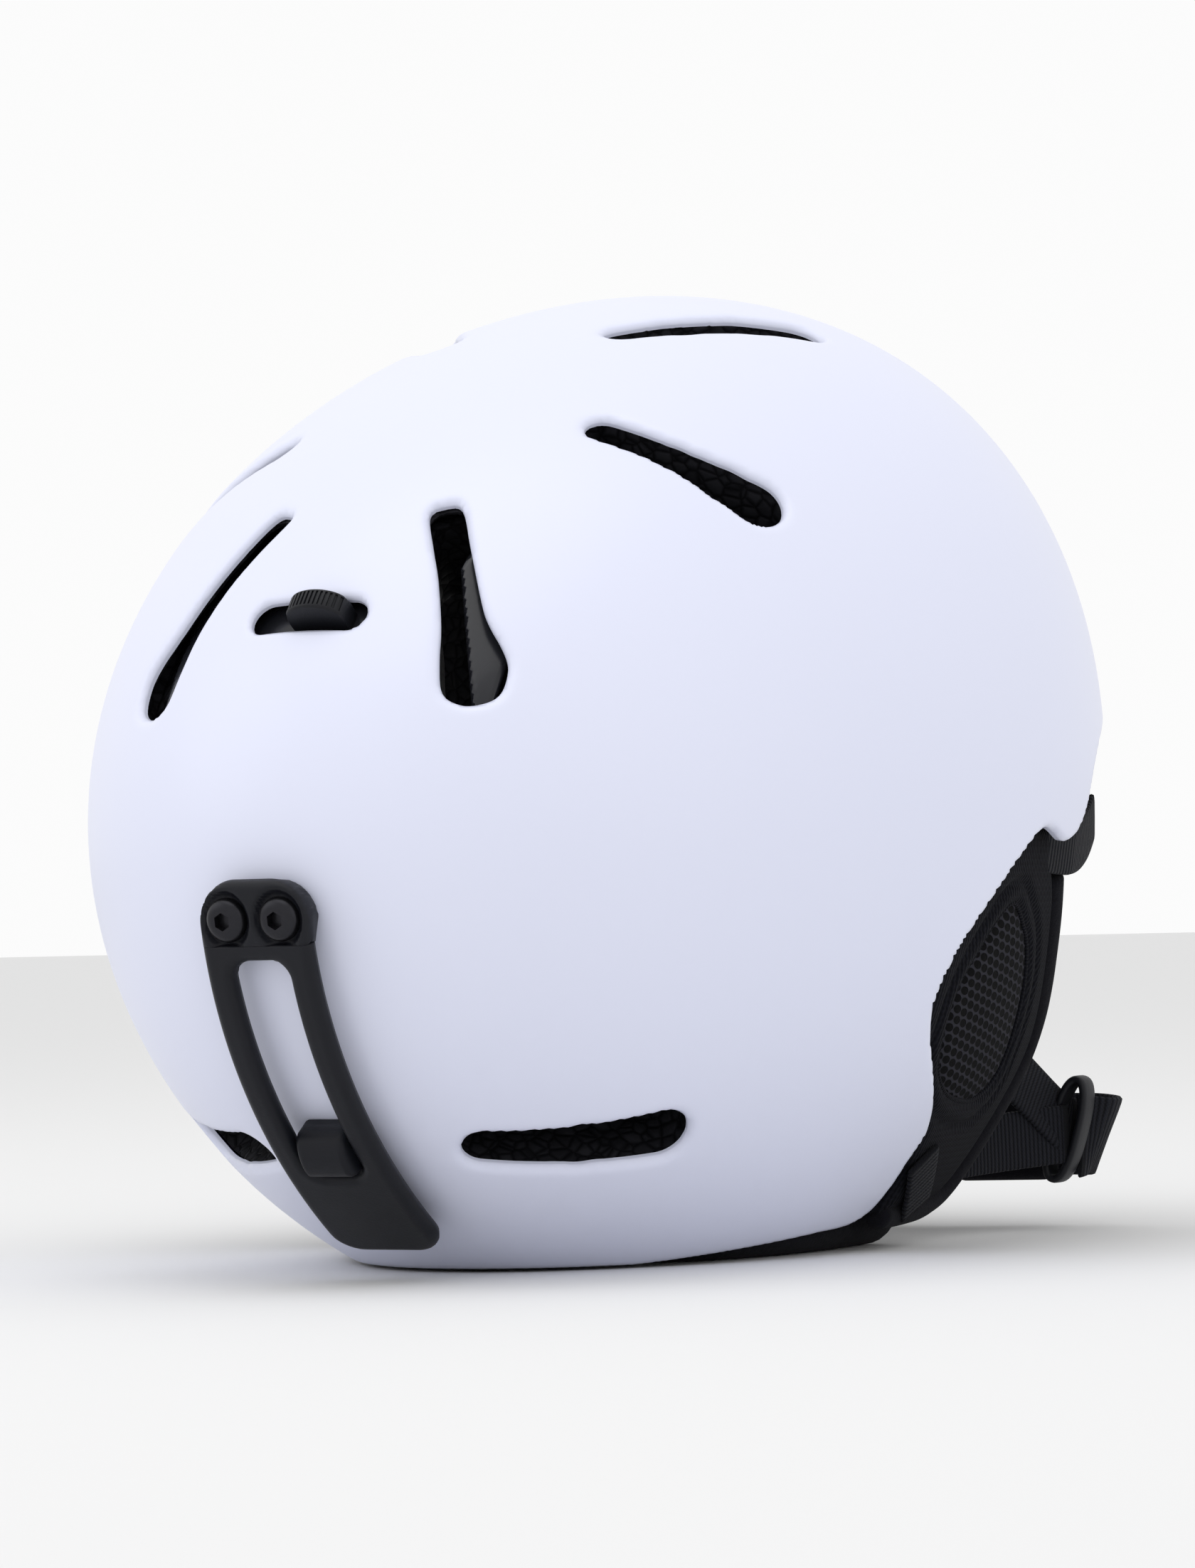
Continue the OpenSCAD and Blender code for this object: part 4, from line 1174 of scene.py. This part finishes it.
def crown_field(q):
    """Two crossed bands with rounded inner corners."""
    p, _ = on_crown(q)
    long_way = np.minimum(15 - np.abs(p[:, 0]), np.minimum(p[:, 1] + 64.5, 59.5 - p[:, 1]))
    short_way = np.minimum(58 - np.abs(p[:, 0]), np.minimum(p[:, 1] + 18.5, 7.5 - p[:, 1]))
    blend = np.clip(1 - np.abs(long_way - short_way) / 10, 0, 1) ** 2 * 2.0
    return np.maximum(long_way, short_way) + blend * (np.minimum(long_way, short_way) > -8)


comfort_pad("crown_cushion", "crown_pad", (-66, 66, -72, 92), 1.4, crown_field, on_crown)
comfort_pad("brow_cushion", "brow_pad", (118, 242, -20, 50), 1.2, within([-62, -154.5, 128], [62, -74.5, 154]))
for side, longitudes, x_lo, x_hi in (("right", (-130, -40), -110, -60), ("left", (40, 130), 60, 110)):
    comfort_pad(f"temple_cushion_{side}", f"side_pad_{side}", (*longitudes, -25, 45), 1.2,
                within([x_lo, -56.5, 114.5], [x_hi, 47.5, 142]))


# ---------------------------------------------------------------- straps, ring and chin cushion
WEB_THICK, WEB_STEP = 1.7, 1.4
RING = np.array([-76.0, -101.0 - BACK_SHIFT, 24.0])
CHIN_TURN = math.radians(15.4)


def strap(name, path, out, width, mirror):
    """A leg of webbing along given points, its flat side facing out."""
    path = resample(spline(np.asarray(path, float) - [0, BACK_SHIFT, 0], 6), 1.6)
    return ribbon(name, path, width, WEB_THICK, out, mirror)


def divider_ring(side):
    """Oval ring where the two legs meet the chin webbing."""
    points, half_across, half_tall, lean = 60, 3.3, 12.4, math.radians(-17)
    a = np.linspace(0, 2 * math.pi, points + 1)[:-1]
    across = half_across * np.sign(np.cos(a)) * np.abs(np.cos(a)) ** 0.9
    tall = half_tall * np.sign(np.sin(a)) * np.abs(np.sin(a)) ** 0.75
    x = across * math.cos(lean) + tall * math.sin(lean)
    z = -across * math.sin(lean) + tall * math.cos(lean)
    path = np.stack([RING[0] + x, np.full(points, RING[1]), RING[2] + z], 1)
    obj = sweep(f"divider_ring_{side}", path, 2.0, 6.4, (0, 1, 0), closed=True, sides=16, power=4,
                mirror=side == "left")
    give(obj, MOULDED, "moulded_black", f"chin_strap_{side}", f"strap_ring_{side}")


for side in ("right", "left"):
    flip, body = side == "left", f"chin_strap_{side}"
    leg = strap(f"front_leg_{side}", [(-74, -16, 105), (-74, -38, 84), (-68.5, -54, 67), (-63.5, -70, 51),
                                      (-70, -88, 36), (-74.8, -99, 26), (-76, -103.5, 24)], (1, 0, 0), 15, flip)
    give(leg, WEBBING, "webbing", body, f"front_strap_{side}")
    leg = strap(f"rear_leg_{side}", [(-60.6, -8, 22), (-60.0, -30, 21), (-60.2, -54, 20.3), (-66, -78, 21.5),
                                     (-76.5, -99, 23)], (1, 0.1, 0), 14, flip)
    leg.data.materials.append(WEBBING)
    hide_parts(f"rear_strap_{side}")
    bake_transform(leg)
    divider_ring(side)
    end = 24.0 if side == "right" else 24.4
    chin = [[-77.6, -104.4], [-80, -109.5], [-79.6, -115], [-75, -119], [-67, -119.4], [-52, -115.4],
            [-38, -111.6], [-31, -110.5], [-end, -110.5]]
    curve = resample(spline(chin, 6), WEB_STEP)
    curve = np.column_stack([curve[:, 0], curve[:, 1] - BACK_SHIFT, np.full(len(curve), 22.0)])
    gone = np.arange(len(curve)) * WEB_STEP
    lean = np.interp(gone, [0, 6, 22, 38], [0.1, 0.45, 0.45, 0])
    upright = np.column_stack([-lean, np.zeros(len(curve)), np.ones(len(curve))])
    out = np.cross(frames_along(curve), upright)
    out /= np.linalg.norm(out, axis=1)[:, None]
    web = ribbon(f"chin_webbing_{side}", curve, 20, WEB_THICK, out, flip)
    give(web, WEBBING, "webbing", body, f"chin_web_{side}")


def on_chin(q):
    """q is in mm along the right chin webbing's straight run and up; heights go towards the chin."""
    c, s = math.cos(CHIN_TURN), math.sin(CHIN_TURN)
    p = np.stack([-66 + q[:, 0] * c, -118 - BACK_SHIFT + q[:, 0] * s, 22 + q[:, 1]], 1)
    return p, np.broadcast_to([-s, c, 0], (len(q), 3))


cushion = sheet("chin_cushion", (0, 27, -11, 11), 0.9, lambda q: box_distance(q, 13.5, 0, 13.5, 11, 4), on_chin,
                domed(1.5, 1.5, 4), domed(1.5, -1.5, 2))
give(cushion, FLEECE, "pad_fleece", "chin_strap_right", "chin_pad")

# ---------------------------------------------------------------- CAD nodes that stay, with their finishes
KEPT = {FOAM: [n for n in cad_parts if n.startswith("liner_")],
        STEEL: ["clip_screw_nuts", "socket_magnet", "plug_magnet"],
        SHUTTER: ["fit_dial_cap"],
        MOULDED: ["fit_dial_housing", "fit_dial", "fit_band_right", "fit_band_left", "strap_anchor_right",
                  "strap_anchor_left", "rear_anchor_right", "rear_anchor_left", "buckle_socket",
                  "buckle_plug"]}
for material, nodes in KEPT.items():
    for n in nodes:
        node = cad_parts[n]
        node.data.materials.clear()
        node.data.materials.append(material)

# ---------------------------------------------------------------- stage, light, camera
bm = bmesh.new()
bmesh.ops.create_grid(bm, x_segments=1, y_segments=1, size=12)
floor_mesh = bpy.data.meshes.new("floor")
bm.to_mesh(floor_mesh)
bm.free()
floor = bpy.data.objects.new("floor", floor_mesh)
bpy.context.scene.collection.objects.link(floor)
pale = Tree("floor_pale", Base_Color=(0.78, 0.78, 0.78), Roughness=0.9, Specular_IOR_Level=0.1)
floor.data.materials.append(pale.material)

world = bpy.data.worlds.new("studio")
world.use_nodes = True
world.node_tree.nodes["Background"].inputs[0].default_value = (1.0, 1.0, 1.0, 1)
world.node_tree.nodes["Background"].inputs[1].default_value = 0.97
bpy.context.scene.world = world


def lamp(name, where, size, power, tint=(1, 1, 1)):
    """A round softbox aimed at the helmet's middle."""
    target = (0, 0, 0.1)
    light = bpy.data.lights.new(name, "AREA")
    light.shape, light.size, light.energy, light.color = "DISK", size, power, tint
    obj = bpy.data.objects.new(name, light)
    obj.location = where
    obj.rotation_euler = (Vector(target) - Vector(where)).to_track_quat("-Z", "Y").to_euler()
    bpy.context.scene.collection.objects.link(obj)


lamp("overhead", (0.1, 0.4, 1.5), 1.4, 4.6)
lamp("left_fill", (1.2, 0.9, 0.9), 1.2, 2.4, (0.97, 0.98, 1))
lamp("right_fill", (-1.3, 0.3, 0.6), 1.2, 1.0)

camera = bpy.data.cameras.new("camera")
camera.sensor_fit = "VERTICAL"
camera.sensor_height = 36
camera.lens = 126.9
camera.shift_x, camera.shift_y = -0.0139, -0.0301
camera.clip_start, camera.clip_end = 0.01, 50
view = bpy.data.objects.new("camera", camera)
aim = Vector((0, (CENTRE_Y - BACK_SHIFT) * MM, CENTRE_Z * MM))
eye = Vector((-0.621, 1.122 - BACK_SHIFT * MM, 0.078))
forward = (aim - eye).normalized()
right = forward.cross(Vector((0, 0, 1))).normalized()
up = right.cross(forward)
roll = math.radians(1.375)
right, up = right * math.cos(roll) - up * math.sin(roll), up * math.cos(roll) + right * math.sin(roll)
view.matrix_world = Matrix.Translation(eye) @ Matrix((right, up, -forward)).transposed().to_4x4()
bpy.context.scene.collection.objects.link(view)
bpy.context.scene.camera = view
bpy.context.scene.view_settings.view_transform = "Standard"
